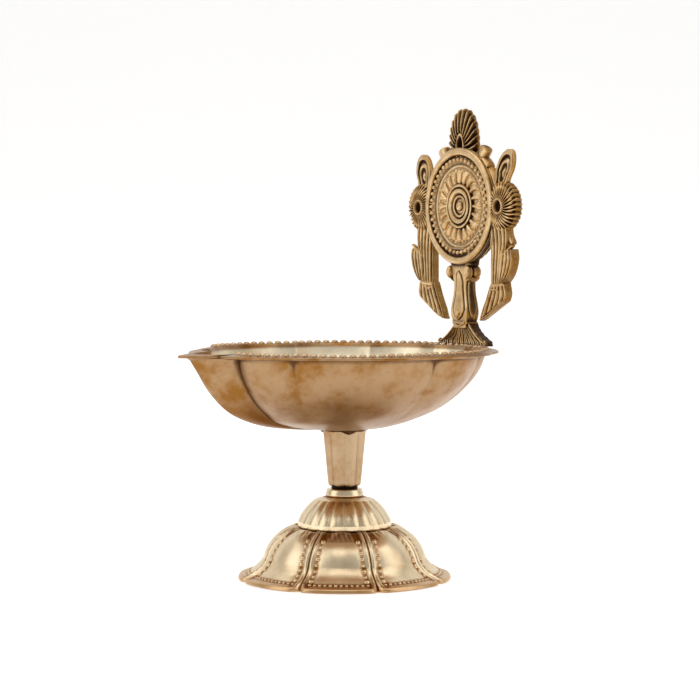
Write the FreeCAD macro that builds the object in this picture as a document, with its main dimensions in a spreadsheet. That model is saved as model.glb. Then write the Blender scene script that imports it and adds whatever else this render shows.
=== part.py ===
import FreeCAD, Part
import math
import os

import Sketcher
from FreeCAD import Placement, Rotation, Vector

# Brass diya lamp on a screwed foot. Millimetres, +Z up, origin on the stem's axis where the lamp stands.
# The spout points along -Y and the plaque stands on the rim at +Y, facing the spout.

DIMENSIONS = {
    # foot: a hollow skirt of eight petals under a fluted dome
    "petal_count": 8,
    "petal_turn": -35.5,
    "skirt_tip_radius": 31.4,
    "skirt_lip_radius": 28.7,
    "skirt_lip_height": 2.5,
    "skirt_waist_radius": 23.8,
    "skirt_waist_height": 6.2,
    "skirt_top_radius": 14.2,
    "skirt_top_height": 15.9,
    "skirt_wall": 1.6,
    "notch_depth": 1.9,
    "notch_width": 2.6,
    "dome_radius": 13.8,
    "dome_shoulder_radius": 8.6,
    "dome_shoulder_height": 23.6,
    "dome_wall": 1.7,
    "dome_flutes": 24,
    "flute_radius": 0.8,
    "collar_radius": 5.3,
    "collar_top_radius": 4.96,
    "collar_foot_height": 24.7,
    "collar_top_height": 26.6,
    # centre fasteners: an M6 stud, its nut and washers
    "stud_radius": 3.0,
    "stud_foot_height": 7.5,
    "stud_top_height": 39.0,
    "fit_gap": 0.05,
    "nut_flats": 10.0,
    "nut_height": 5.0,
    "foot_washer_radius": 7.5,
    "foot_washer_thickness": 1.0,
    "gap_washer_radius": 3.9,
    # stem
    "stem_foot_height": 27.5,
    "stem_foot_radius": 4.74,
    "stem_top_height": 44.3,
    "stem_top_radius": 6.2,
    "stem_flutes": 8,
    "stem_bore_depth": 13.0,
    "stem_flute_radius": 0.9,
    "braze_radius": 7.3,
    "braze_height": 1.1,
    # bowl
    "bowl_wall": 1.4,
    "rim_height": 66.6,
    "flange_thickness": 1.2,
    "spout_lip_reach": 55.4,
    # plaque
    "plaque_plane": 43.2,
    "foot_plane": 43.7,
    "foot_half_width": 12.2,
    "foot_edge_height": 69.2,
    "neck_half_width": 3.5,
    "neck_height": 74.6,
    "belly_half_width": 4.3,
    "belly_height": 78.2,
    "waist_half_width": 2.8,
    "waist_height": 84.6,
    "frame_thickness": 4.4,
    "foot_thickness": 3.0,
    "ribbon_thickness": 3.4,
    "disc_height": 110.0,
    "disc_radius": 17.7,
    "disc_thickness": 2.2,
    "disc_front": 40.2,
    "backing_radius": 17.1,
    "backing_thickness": 2.8,
    "rosette_offset": 20.5,
    "rosette_radius": 6.9,
    "rosette_depth": 4.6,
    "loop_offset": 21.5,
    "loop_half_width": 2.5,
    "loop_thickness": 3.6,
    "loop_top_height": 126.5,
    "finial_foot_height": 126.0,
    "finial_top_height": 139.7,
    "finial_half_width": 6.1,
    "finial_thickness": 3.2,
    "ball_radius": 1.5,
    "ball_offset": 4.9,
    "ball_height": 90.2,
    "lug_offset": 10.6,
    "lug_height": 126.5,
    "lug_radius": 1.9,
    "petal_ring": 20,
    "rivet_radius": 1.0,
    "rivet_head_radius": 1.5,
    "rivet_head_height": 0.8,
    "rivet_spacing": 11.0,
}


class Size:
    """A length with the sheet's expression for it, so that a sketch can be bound to the cell."""

    def __init__(self, value, text):
        self.value = value
        self.text = text

    def joined(self, other, sign):
        value, text = (other.value, other.text) if isinstance(other, Size) else (other, str(other))
        return Size(self.value + sign * value, f"{self.text} {'+' if sign > 0 else '-'} ({text})")

    def __add__(self, other):
        return self.joined(other, 1)

    def __sub__(self, other):
        return self.joined(other, -1)

    def __mul__(self, factor):
        return Size(self.value * factor, f"({self.text}) * {factor}")

    def __neg__(self):
        return self * -1


class Cells:
    """The sheet's cells by alias."""

    def __getattr__(self, alias):
        return Size(DIMENSIONS[alias], f"Sizes.{alias}")


S = Cells()


def number(value):
    return value.value if isinstance(value, Size) else value


def make_sheet(doc):
    sheet = doc.addObject("Spreadsheet::Sheet", "Sizes")
    for row, (alias, value) in enumerate(DIMENSIONS.items(), start=1):
        sheet.set(f"A{row}", alias)
        sheet.set(f"B{row}", str(value))
        sheet.setAlias(f"B{row}", alias)
    doc.recompute()


def bind(feature, **values):
    """Gives each property its value, and ties it to the sheet when the value is a Size."""
    for name, value in values.items():
        setattr(feature, name, number(value))
        if isinstance(value, Size):
            feature.setExpression(name, value.text)


def make_body(doc, label):
    body = doc.addObject("PartDesign::Body", label)
    body.Label = label
    return body


def origin_feature(body, role):
    return next(item for item in body.Origin.OriginFeatures if item.Role == role)


def make_sketch(body, plane, offset=0.0):
    """An empty sketch on one of the body's own planes, lifted along the plane's normal."""
    sketch = body.newObject("Sketcher::SketchObject", "Sketch")
    sketch.AttachmentSupport = [(origin_feature(body, plane), "")]
    sketch.MapMode = "FlatFace"
    sketch.AttachmentOffset = Placement(Vector(0, 0, number(offset)), Rotation())
    if isinstance(offset, Size):
        sketch.setExpression("AttachmentOffset.Base.z", offset.text)
    return sketch


def hold(sketch, geometry, end, point):
    """Fixes one end of an edge at a point, by the sheet where the point uses it."""
    for axis, kind, value in ((-2, "DistanceX", point[0]), (-1, "DistanceY", point[1])):
        if number(value) == 0:
            sketch.addConstraint(Sketcher.Constraint("PointOnObject", geometry, end, axis))
            continue
        index = sketch.addConstraint(Sketcher.Constraint(kind, -1, 1, geometry, end, number(value)))
        if isinstance(value, Size):
            sketch.setExpression(f"Constraints[{index}]", value.text)


def outline(sketch, corners):
    """A closed outline through corners (x, y) or (x, y, bulge), anticlockwise.

    A bulge is the height of the arc that leads from the corner to the next, positive outwards.
    """
    starts, ends = [], []
    for index, corner in enumerate(corners):
        after = corners[(index + 1) % len(corners)]
        start = Vector(number(corner[0]), number(corner[1]), 0)
        end = Vector(number(after[0]), number(after[1]), 0)
        bulge = corner[2] if len(corner) > 2 else 0
        if bulge:
            along = (end - start).normalize()
            outward = Vector(along.y, -along.x, 0)
            edge = Part.Arc(start, (start + end) / 2 + outward * bulge, end)
        else:
            edge = Part.LineSegment(start, end)
        sketch.addGeometry(edge, False)
        starts.append(2 if bulge < 0 else 1)
        ends.append(1 if bulge < 0 else 2)
    count = len(corners)
    for index in range(count):
        after = (index + 1) % count
        joint = Sketcher.Constraint("Coincident", index, ends[index], after, starts[after])
        sketch.addConstraint(joint)
    for index, corner in enumerate(corners):
        hold(sketch, index, starts[index], corner[:2])
    return sketch


def circle(sketch, radius, at=(0, 0)):
    centre = Vector(number(at[0]), number(at[1]), 0)
    index = sketch.addGeometry(Part.Circle(centre, Vector(0, 0, 1), number(radius)), False)
    hold(sketch, index, 3, at)
    size = sketch.addConstraint(Sketcher.Constraint("Radius", index, number(radius)))
    if isinstance(radius, Size):
        sketch.setExpression(f"Constraints[{size}]", radius.text)
    return sketch


def revolve(body, corners):
    """Turns an outline in radius and height a full turn about the body's Z axis."""
    sketch = outline(make_sketch(body, "XZ_Plane"), corners)
    feature = body.newObject("PartDesign::Revolution", "Revolution")
    feature.Profile = sketch
    feature.ReferenceAxis = (sketch, ["V_Axis"])
    feature.Angle = 360
    return feature


def pad(body, sketch, length, both_ways=False):
    feature = body.newObject("PartDesign::Pad", "Pad")
    feature.Profile = sketch
    feature.Midplane = both_ways
    bind(feature, Length=length)
    return feature


def pocket(body, sketch, length, flip=False):
    feature = body.newObject("PartDesign::Pocket", "Pocket")
    feature.Profile = sketch
    feature.Reversed = flip
    bind(feature, Length=length)
    return feature


def loft(body, kind, sketches):
    feature = body.newObject(f"PartDesign::{kind}", kind)
    feature.Profile = sketches[0]
    feature.Sections = sketches[1:]
    feature.Ruled = False
    return feature


def round_pattern(body, features, count):
    """Repeats the features evenly round the body's Z axis."""
    pattern = body.newObject("PartDesign::PolarPattern", "PolarPattern")
    pattern.Originals = features
    pattern.Axis = (origin_feature(body, "Z_Axis"), [""])
    pattern.Angle = 360
    bind(pattern, Occurrences=count)
    body.Tip = pattern
    return pattern


def turn_about_z(body, degrees):
    body.Placement = Placement(Vector(), Rotation(Vector(0, 0, 1), degrees))


# ---- foot ----------------------------------------------------------------------------------------------


def make_petal_skirt(doc):
    """A hollow bell, flared at the bottom, its edge notched between eight petals."""
    body = make_body(doc, "petal_skirt")
    bore = S.stud_radius + S.fit_gap
    plate_bottom = S.skirt_top_height - S.skirt_wall
    revolve(body, [
        (bore, plate_bottom),
        (S.skirt_top_radius - 1.0, plate_bottom, -1.5),
        (S.skirt_waist_radius - S.skirt_wall, S.skirt_waist_height - 0.7, 0.6),
        (S.skirt_lip_radius - 1.0, 0.9),
        (S.skirt_tip_radius - 2.0, 0),
        (S.skirt_tip_radius - 0.3, 0),
        (S.skirt_tip_radius, 0.6, 0.2),
        (S.skirt_lip_radius, S.skirt_lip_height, -0.65),
        (S.skirt_waist_radius, S.skirt_waist_height, 1.6),
        (S.skirt_top_radius, S.skirt_top_height),
        (bore, S.skirt_top_height),
    ])
    # the notch lies half a petal from the middle of the petal that the body's X axis runs through
    half_petal = math.radians(180 / DIMENSIONS["petal_count"])
    notch = make_sketch(body, "XY_Plane")
    tip = DIMENSIONS["skirt_tip_radius"]
    inner, outer, side = tip - DIMENSIONS["notch_depth"], tip + 1.0, DIMENSIONS["notch_width"] / 2
    corners = []
    for reach, across in ((inner, 0), (outer, -side * 1.5), (outer, side * 1.5)):
        corners.append((
            reach * math.cos(half_petal) - across * math.sin(half_petal),
            reach * math.sin(half_petal) + across * math.cos(half_petal),
        ))
    outline(notch, corners)
    cut = pocket(body, notch, S.skirt_lip_height + 1.5, flip=True)
    round_pattern(body, [cut], S.petal_count)
    turn_about_z(body, DIMENSIONS["petal_turn"])
    return body


def make_fluted_dome(doc):
    """A ribbed hollow dome with a thick neck and a plain collar."""
    body = make_body(doc, "fluted_dome")
    bore = S.stud_radius + S.fit_gap
    foot = S.skirt_top_height
    revolve(body, [
        (S.dome_radius - S.dome_wall, foot),
        (S.dome_radius, foot),
        (S.dome_radius, foot + 0.9, 0.75),
        (S.dome_shoulder_radius, S.dome_shoulder_height),
        (S.collar_radius, S.collar_foot_height - 0.2),
        (S.collar_radius, S.collar_foot_height),
        (S.collar_top_radius, S.collar_top_height),
        (bore, S.collar_top_height),
        (bore, S.dome_shoulder_height - 2.2),
        (S.dome_shoulder_radius - 1.6, S.dome_shoulder_height - 2.2, -0.6),
        (S.dome_radius - S.dome_wall, foot + 1.0),
    ])
    low = circle(make_sketch(body, "XY_Plane", foot), S.flute_radius, (S.dome_radius + 0.35, 0))
    middle = circle(make_sketch(body, "XY_Plane", foot + 4.8), S.flute_radius * 0.85,
                    (S.dome_radius - 1.7, 0))
    high = circle(make_sketch(body, "XY_Plane", S.dome_shoulder_height + 0.5), S.flute_radius * 0.6,
                  (S.dome_shoulder_radius + 0.1, 0))
    flute = loft(body, "SubtractiveLoft", [low, middle, high])
    round_pattern(body, [flute], S.dome_flutes)
    return body


def make_center_stud(doc):
    """The M6 stud as a plain bar, with chamfered ends."""
    body = make_body(doc, "center_stud")
    chamfer = 0.6
    revolve(body, [
        (0, S.stud_foot_height),
        (S.stud_radius - chamfer, S.stud_foot_height),
        (S.stud_radius, S.stud_foot_height + chamfer),
        (S.stud_radius, S.stud_top_height - chamfer),
        (S.stud_radius - chamfer, S.stud_top_height),
        (0, S.stud_top_height),
    ])
    return body


def make_washer(doc, label, bottom, thickness, radius):
    body = make_body(doc, label)
    sketch = circle(make_sketch(body, "XY_Plane", bottom), radius)
    circle(sketch, S.stud_radius + S.fit_gap)
    pad(body, sketch, thickness)
    return body


def make_foot_nut(doc):
    """A hexagon nut, its corners turned down at both faces."""
    body = make_body(doc, "foot_nut")
    top = S.skirt_top_height - S.skirt_wall - S.foot_washer_thickness
    bottom = top - S.nut_height
    sketch = make_sketch(body, "XY_Plane", bottom)
    corner = DIMENSIONS["nut_flats"] / math.sqrt(3)
    outline(sketch, [
        (corner * math.cos(math.radians(60 * step)), corner * math.sin(math.radians(60 * step)))
        for step in range(6)
    ])
    circle(sketch, S.stud_radius + S.fit_gap)
    pad(body, sketch, S.nut_height)
    for face, away in ((bottom, 1), (top, -1)):
        ring = make_sketch(body, "XZ_Plane")
        flat = number(S.nut_flats) / 2
        corners = [
            (flat, face),
            (corner + 0.2, face),
            (corner + 0.2, face + away * 0.65),
        ]
        outline(ring, corners if away > 0 else [corners[0], corners[2], corners[1]])
        groove = body.newObject("PartDesign::Groove", "Groove")
        groove.Profile = ring
        groove.ReferenceAxis = (ring, ["V_Axis"])
        groove.Angle = 360
    return body


# ---- stem ----------------------------------------------------------------------------------------------


def make_fluted_stem(doc):
    """A taper, wider at the top, with hollow flutes and a blind bore for the stud."""
    body = make_body(doc, "fluted_stem")
    bore = S.stud_radius + S.fit_gap
    bore_top = S.stem_foot_height + S.stem_bore_depth
    revolve(body, [
        (bore, S.stem_foot_height),
        (S.stem_foot_radius - 0.5, S.stem_foot_height),
        (S.stem_foot_radius, S.stem_foot_height + 0.7),
        (S.stem_top_radius, S.stem_top_height),
        (0, S.stem_top_height),
        (0, bore_top),
        (bore, bore_top),
    ])
    out = S.stem_flute_radius * 0.55
    low = circle(make_sketch(body, "XY_Plane", S.stem_foot_height - 0.1), S.stem_flute_radius,
                 (S.stem_foot_radius + out, 0))
    high = circle(make_sketch(body, "XY_Plane", S.stem_top_height - 1.4), S.stem_flute_radius * 1.3,
                  (S.stem_top_radius + out * 1.3, 0))
    flute = loft(body, "SubtractiveLoft", [low, high])
    round_pattern(body, [flute], S.stem_flutes)
    turn_about_z(body, -32)
    return body


def make_braze_ring(doc):
    """The hollow fillet of brazing metal between the stem's top and the bowl."""
    body = make_body(doc, "braze_ring")
    revolve(body, [
        (S.stem_top_radius, S.stem_top_height - S.braze_height),
        (S.stem_top_radius + 0.2, S.stem_top_height - S.braze_height, -0.2),
        (S.braze_radius, S.stem_top_height),
        (S.stem_top_radius, S.stem_top_height),
    ])
    return body


# ---- bowl ----------------------------------------------------------------------------------------------

# The bowl by height: its outer radius at the round back, at the seam beside the spout and at the spout's
# tip, and that seam's angle from the spout, which narrows towards the stem.
BOWL_LEVELS = (
    (44.3, 7.5, 8.3, 9.5, 4.0),
    (44.8, 11.5, 13.5, 17.5, 4.0),
    (45.8, 16.0, 19.5, 25.6, 5.0),
    (47.4, 21.0, 25.5, 32.0, 7.0),
    (50.0, 27.0, 30.0, 38.0, 9.5),
    (53.4, 32.0, 34.9, 42.4, 11.5),
    (57.4, 36.2, 38.7, 45.9, 12.5),
    (61.8, 39.4, 41.3, 48.7, 12.5),
    (66.6, 41.2, 43.0, 51.9, 12.5),
)

# The other seams between the lobes: the angle from the spout, how far the seam lies inside the lobes at the
# rim, and the flange's radius there.
SEAMS = (
    (37.7, 1.0, 43.8),
    (94.6, 1.5, 44.3),
    (133.0, 0.8, 44.4),
    (168.0, 0.8, 44.7),
)
LIP_SEAM = (8.5, 46.5)
LOBE_SWELL = 0.6
FLANGE_SWELL = 0.9
BACK_STARTS_AT = 105.0


def round_radius(angle, back, seam, seam_angle):
    """The bowl's radius at an angle from the spout: longer beside the spout, round at the back."""
    share = min(1.0, max(0.0, (angle - seam_angle) / (BACK_STARTS_AT - seam_angle)))
    return seam + (back - seam) * (1 - math.cos(math.pi * share)) / 2


def at_angle(radius, angle):
    """A point at an angle from the spout, positive towards +X."""
    return radius * math.sin(math.radians(angle)), -radius * math.cos(math.radians(angle))


def lobed_plan(tip, seams, crowns):
    """A lobed outline, anticlockwise from the spout's tip, as outline() takes it.

    seams are (angle, radius) pairs up the +X side, and crowns the radius half way along each lobe, the
    last of them for the lobe opposite the spout.
    """
    half = [(0.0, tip)] + seams
    right = [at_angle(radius, angle) for angle, radius in half]
    left = [(-x, y) for x, y in reversed(right[1:])]
    points = right + left
    angles = [angle for angle, _ in half]
    middles = [(a + b) / 2 for a, b in zip(angles, angles[1:])] + [180.0]
    bulges = [0.12 * math.dist(right[0], right[1])]
    for index, crown in enumerate(crowns, start=1):
        start, end = points[index], points[index + 1]
        middle = at_angle(crown, middles[index])
        bulges.append(math.dist(((start[0] + end[0]) / 2, (start[1] + end[1]) / 2), middle))
    bulges += bulges[-2::-1]
    return [(x, y, bulge) for (x, y), bulge in zip(points, bulges)]


def bowl_plan(level, inset=0.0):
    """The wall's outline at one level."""
    height, back, seam, tip, seam_angle = level
    depth_share = (height - BOWL_LEVELS[0][0]) / (BOWL_LEVELS[-1][0] - BOWL_LEVELS[0][0])

    def radius(angle):
        return round_radius(angle, back, seam, seam_angle) - inset

    seams = [(seam_angle, seam - inset)]
    seams += [(angle, radius(angle) - notch * depth_share) for angle, notch, _ in SEAMS]
    angles = [angle for angle, _ in seams] + [192.0]
    crowns = [radius((a + b) / 2) + LOBE_SWELL * depth_share for a, b in zip(angles, angles[1:])]
    return lobed_plan(tip - inset, seams, crowns)


def flange_plan():
    """The flange's outline, which reaches further than the wall, most of all at the spout's lip."""
    seams = [LIP_SEAM] + [(angle, radius) for angle, _, radius in SEAMS]
    radii = [radius for _, radius in seams] + [seams[-1][1]]
    crowns = [(a + b) / 2 + FLANGE_SWELL for a, b in zip(radii, radii[1:])]
    return lobed_plan(DIMENSIONS["spout_lip_reach"], seams, crowns)


def make_oil_bowl(doc):
    """The lobed bowl: an outer loft, a flat flange round the rim, and the hollow cut by an inner loft."""
    body = make_body(doc, "oil_bowl")
    outer = []
    for level in BOWL_LEVELS:
        outer.append(outline(make_sketch(body, "XY_Plane", level[0]), bowl_plan(level)))
    loft(body, "AdditiveLoft", outer)
    flange = outline(make_sketch(body, "XY_Plane", S.rim_height), flange_plan())
    pad(body, flange, S.flange_thickness)
    inner = []
    wall = DIMENSIONS["bowl_wall"]
    for level in BOWL_LEVELS:
        raised = (level[0] + 1.6,) + level[1:]
        corners = bowl_plan(level, wall * 0.9)
        inner.append(outline(make_sketch(body, "XY_Plane", raised[0]), corners))
    loft(body, "SubtractiveLoft", inner)
    return body


# ---- plaque --------------------------------------------------------------------------------------------


def make_plaque_frame(doc):
    """The cast frame: a flared foot, a column, a backing disc, ribbons, rosettes, loops and a finial."""
    body = make_body(doc, "plaque_frame")
    plane = -S.plaque_plane
    base = S.rim_height + S.flange_thickness

    def both_sides(corners):
        """Adds the mirror of a half outline that starts and ends on the Z axis side, anticlockwise."""
        mirrored = []
        for index in range(len(corners) - 1, -1, -1):
            bulge = corners[index - 1][2] if index and len(corners[index - 1]) > 2 else 0
            mirrored.append((-corners[index][0], corners[index][1], bulge))
        return corners + mirrored

    foot = make_sketch(body, "XZ_Plane", -S.foot_plane)
    outline(foot, both_sides([
        (S.foot_half_width, base),
        (S.foot_half_width, S.foot_edge_height, -1.3),
        (S.neck_half_width, S.neck_height),
    ]))
    pad(body, foot, S.foot_thickness, both_ways=True)
    column = make_sketch(body, "XZ_Plane", plane)
    outline(column, both_sides([
        (S.neck_half_width, S.neck_height - 0.4),
        (S.belly_half_width, S.belly_height),
        (S.waist_half_width, S.waist_height),
        (S.belly_half_width + 1.0, S.waist_height + 6.0),
        (S.belly_half_width + 1.0, S.disc_height - 8.0),
    ]))
    pad(body, column, S.frame_thickness, both_ways=True)
    backing = circle(make_sketch(body, "XZ_Plane", -(S.disc_front + S.disc_thickness)),
                     S.backing_radius, (0, S.disc_height))
    pad(body, backing, S.backing_thickness).Reversed = True
    finial = make_sketch(body, "XZ_Plane", plane)
    outline(finial, both_sides([
        (S.finial_half_width * 0.8, S.finial_foot_height - 2.0),
        (S.finial_half_width, S.finial_foot_height + 3.5, 0.5),
        (S.finial_half_width * 0.55, S.finial_top_height - 1.6, 1.6),
    ]))
    pad(body, finial, S.finial_thickness, both_ways=True)
    details = []
    for offset, height, radius, length in (
        (S.ball_offset, S.ball_height, S.ball_radius, S.frame_thickness),
        (S.lug_offset, S.lug_height, S.lug_radius, S.finial_thickness),
        (S.rosette_offset, S.disc_height - 0.2, S.rosette_radius, S.rosette_depth),
    ):
        boss = circle(make_sketch(body, "XZ_Plane", plane), radius, (offset, height))
        details.append(pad(body, boss, length, both_ways=True))
    bridge = make_sketch(body, "XZ_Plane", plane)
    outline(bridge, [
        (S.lug_offset - 4.0, S.disc_height + 14.0),
        (S.lug_offset + 4.5, S.disc_height + 9.0),
        (S.lug_offset + 1.4, S.lug_height),
        (S.lug_offset - 1.6, S.lug_height + 0.8),
    ])
    details.append(pad(body, bridge, S.finial_thickness, both_ways=True))
    loop = make_sketch(body, "XZ_Plane", plane)
    outline(loop, [
        (S.loop_offset - S.loop_half_width - 1.6, S.disc_height + 3.0),
        (S.loop_offset + S.loop_half_width - 1.6, S.disc_height + 3.0),
        (S.loop_offset + S.loop_half_width + 0.4, S.loop_top_height - S.loop_half_width,
         number(S.loop_half_width)),
        (S.loop_offset - S.loop_half_width + 0.4, S.loop_top_height - S.loop_half_width),
    ])
    details.append(pad(body, loop, S.loop_thickness, both_ways=True))
    ribbon = make_sketch(body, "XZ_Plane", plane)
    outline(ribbon, [
        (12.5, S.disc_height - 4.0),
        (15.0, 95.0),
        (17.2, 88.0),
        (15.6, 84.5),
        (10.0, 75.6),
        (21.0, 82.6),
        (22.2, 86.6),
        (26.0, 89.0),
        (27.2, 94.5, 0.6),
        (22.5, S.disc_height - 5.0),
    ])
    details.append(pad(body, ribbon, S.ribbon_thickness, both_ways=True))
    mirror = body.newObject("PartDesign::Mirrored", "Mirrored")
    mirror.Originals = details
    mirror.MirrorPlane = (origin_feature(body, "YZ_Plane"), [""])
    body.Tip = mirror
    # the discus's seat, cut from in front of it back to the backing disc, and its pin's hole
    seat = circle(make_sketch(body, "XZ_Plane", -S.disc_front + 3.0), S.disc_radius + S.fit_gap,
                  (0, S.disc_height))
    pocket(body, seat, S.disc_thickness + 3.0)
    pin_hole = circle(make_sketch(body, "XZ_Plane", -S.disc_front + 3.0), S.rivet_radius + S.fit_gap,
                      (0, S.disc_height))
    pocket(body, pin_hole, 12.0)
    half_spacing = S.rivet_spacing * 0.5
    holes = make_sketch(body, "XY_Plane", base)
    for side in (1, -1):
        circle(holes, S.rivet_radius + S.fit_gap, (half_spacing * side, S.foot_plane))
    pocket(body, holes, 1.6, flip=True)
    return body


def make_chakra_disc(doc):
    """The discus, drawn lying down and then stood up: a rim, a ring of domed petals and a stepped boss."""
    body = make_body(doc, "chakra_disc")
    rim = S.disc_radius
    full = S.disc_thickness
    revolve(body, [
        (S.rivet_radius + S.fit_gap, 0),
        (rim - 0.5, 0),
        (rim, 0.5),
        (rim, full - 0.8, 0.25),
        (rim - 0.9, full),
        (rim - 2.3, full),
        (rim - 2.8, full - 0.9),
        (rim * 0.37, full - 0.9),
        (rim * 0.36, full - 0.1),
        (rim * 0.31, full - 0.1),
        (rim * 0.29, full - 0.5),
        (rim * 0.19, full - 0.3),
        (rim * 0.17, full - 0.6),
        (S.rivet_radius + S.fit_gap, full - 0.6),
    ])
    inner, outer = number(rim) * 0.39, number(rim) * 0.64
    petal = make_sketch(body, "XY_Plane", full - 1.0)
    outline(petal, [
        (inner, -0.45),
        (outer - 0.9, -1.35, 0.25),
        (outer, 0, 0.25),
        (outer - 0.9, 1.35),
        (inner, 0.45),
    ])
    petals = pad(body, petal, 0.7)
    round_pattern(body, [petals], S.petal_ring)
    facing_spout = Rotation(Vector(1, 0, 0), 90)
    base = Vector(0, DIMENSIONS["disc_front"] + DIMENSIONS["disc_thickness"], DIMENSIONS["disc_height"])
    body.Placement = Placement(base, facing_spout)
    return body


def make_disc_rivet(doc):
    """The pin that holds the discus, with its round head in front, drawn upright and then laid level."""
    body = make_body(doc, "disc_rivet")
    seat = S.disc_thickness - 0.6
    revolve(body, [
        (0, -S.backing_thickness),
        (S.rivet_radius, -S.backing_thickness),
        (S.rivet_radius, seat),
        (S.rivet_head_radius, seat, 0.25),
        (S.rivet_head_radius * 0.3, seat + 1.0),
        (0, seat + 1.0),
    ])
    base = Vector(0, DIMENSIONS["disc_front"] + DIMENSIONS["disc_thickness"], DIMENSIONS["disc_height"])
    body.Placement = Placement(base, Rotation(Vector(1, 0, 0), 90))
    return body


def make_flange_rivets(doc):
    """Two rivets, heads under the flange and shanks up into the plaque's foot."""
    shank = doc.addObject("Part::Cylinder", "Shank")
    head = doc.addObject("Part::Cone", "Head")
    under = S.rim_height - S.rivet_head_height
    bind(shank, Radius=S.rivet_radius, Height=S.rivet_head_height + S.flange_thickness + 1.5)
    bind(head, Radius1=S.rivet_head_radius - 0.5, Radius2=S.rivet_head_radius, Height=S.rivet_head_height)
    for piece in (shank, head):
        piece.Placement = Placement(
            Vector(number(S.rivet_spacing) / 2, number(S.foot_plane), number(under)), Rotation())
        piece.setExpression("Placement.Base.x", (S.rivet_spacing * 0.5).text)
        piece.setExpression("Placement.Base.y", S.foot_plane.text)
        piece.setExpression("Placement.Base.z", under.text)
    rivet = doc.addObject("Part::Fuse", "Rivet")
    rivet.Base, rivet.Tool = shank, head
    mirrored = doc.addObject("Part::Mirroring", "MirroredRivet")
    mirrored.Source = rivet
    mirrored.Normal = Vector(1, 0, 0)
    pair = doc.addObject("Part::Compound", "flange_rivets")
    pair.Links = [rivet, mirrored]
    pair.Label = "flange_rivets"
    return pair


def flange_holes(doc, bowl):
    """Drills the bowl's flange for the two rivets."""
    holes = make_sketch(bowl, "XY_Plane", S.rim_height + S.flange_thickness)
    for side in (0.5, -0.5):
        circle(holes, S.rivet_radius + S.fit_gap, (S.rivet_spacing * side, S.foot_plane))
    pocket(bowl, holes, S.flange_thickness + 0.5)


def check(doc, pieces):
    """Stops if any object failed or any piece's shape is missing or invalid."""
    for item in doc.Objects:
        if {"Invalid", "Error"} & set(item.State):
            raise RuntimeError(f"{item.Name} ({item.Label}) failed: {item.State}")
    for piece in pieces:
        shape = piece.Shape
        if shape.isNull() or not shape.isValid():
            raise RuntimeError(f"{piece.Label} has no valid shape")


def main():
    doc = FreeCAD.newDocument("diya_lamp")
    make_sheet(doc)
    bowl = make_oil_bowl(doc)
    flange_holes(doc, bowl)
    washer_top = S.skirt_top_height - S.skirt_wall
    pieces = [
        make_petal_skirt(doc),
        make_fluted_dome(doc),
        make_center_stud(doc),
        make_washer(doc, "foot_washer", washer_top - S.foot_washer_thickness, S.foot_washer_thickness,
                    S.foot_washer_radius),
        make_foot_nut(doc),
        make_washer(doc, "gap_washer", S.collar_top_height, S.stem_foot_height - S.collar_top_height,
                    S.gap_washer_radius),
        make_fluted_stem(doc),
        make_braze_ring(doc),
        bowl,
        make_plaque_frame(doc),
        make_chakra_disc(doc),
        make_disc_rivet(doc),
        make_flange_rivets(doc),
    ]
    doc.recompute()
    check(doc, pieces)
    os.makedirs("parts", exist_ok=True)
    for piece in pieces:
        piece.Shape.exportStep(f"parts/{piece.Label}.step")
        box = piece.Shape.optimalBoundingBox()
        print(f"{piece.Label}: volume {piece.Shape.Volume:.1f}, solids {len(piece.Shape.Solids)},"
              f" z {box.ZMin:.2f} to {box.ZMax:.2f}, y {box.YMin:.2f} to {box.YMax:.2f}")


main()
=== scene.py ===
import math

import bmesh
import bpy
import numpy as np
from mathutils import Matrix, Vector


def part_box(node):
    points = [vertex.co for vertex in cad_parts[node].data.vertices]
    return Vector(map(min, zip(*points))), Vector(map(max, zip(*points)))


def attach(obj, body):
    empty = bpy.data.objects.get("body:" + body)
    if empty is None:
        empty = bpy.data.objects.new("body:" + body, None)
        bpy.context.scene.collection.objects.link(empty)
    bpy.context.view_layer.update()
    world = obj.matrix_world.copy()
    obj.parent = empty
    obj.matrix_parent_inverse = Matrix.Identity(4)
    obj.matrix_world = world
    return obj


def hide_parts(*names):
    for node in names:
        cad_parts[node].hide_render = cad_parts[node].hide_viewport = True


# A brass diya lamp: petalled foot, fluted dome and stem, lobed bowl with a spout, and a cast plaque.
# Shapes are worked out in millimetres in the frame's axes and turned to metres when a mesh is made.

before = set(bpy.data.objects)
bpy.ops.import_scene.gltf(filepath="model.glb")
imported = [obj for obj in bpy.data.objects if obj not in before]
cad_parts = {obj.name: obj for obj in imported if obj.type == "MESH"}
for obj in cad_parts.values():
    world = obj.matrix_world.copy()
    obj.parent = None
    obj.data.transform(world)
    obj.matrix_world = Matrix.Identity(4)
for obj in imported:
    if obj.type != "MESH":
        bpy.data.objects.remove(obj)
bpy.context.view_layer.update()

MM = 0.001
FOOT, THREAD, LAMP = "foot", "thread", "lamp"
MERGE_DISTANCE = 1e-7


def node_box(node):
    """A node's lowest and highest corners in millimetres."""
    low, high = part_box(node)
    return np.array(low) / MM, np.array(high) / MM


# ---- curves and surfaces ---------------------------------------------------------------------------------


def traced(corners, step):
    """A dense path through corners (a, b) or (a, b, bulge): a bulge is the arc's height to the right."""
    path = []
    for here, after in zip(corners, corners[1:]):
        start, end = np.array(here[:2], float), np.array(after[:2], float)
        along = end - start
        length = np.hypot(*along)
        outward = np.array([along[1], -along[0]]) / length
        bulge = here[2] if len(here) > 2 else 0.0
        count = max(1, math.ceil(length / step))
        for share in np.arange(count) / count:
            path.append(start + along * share + outward * bulge * 4 * share * (1 - share))
    path.append(np.array(corners[-1][:2], float))
    return np.array(path)


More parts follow.
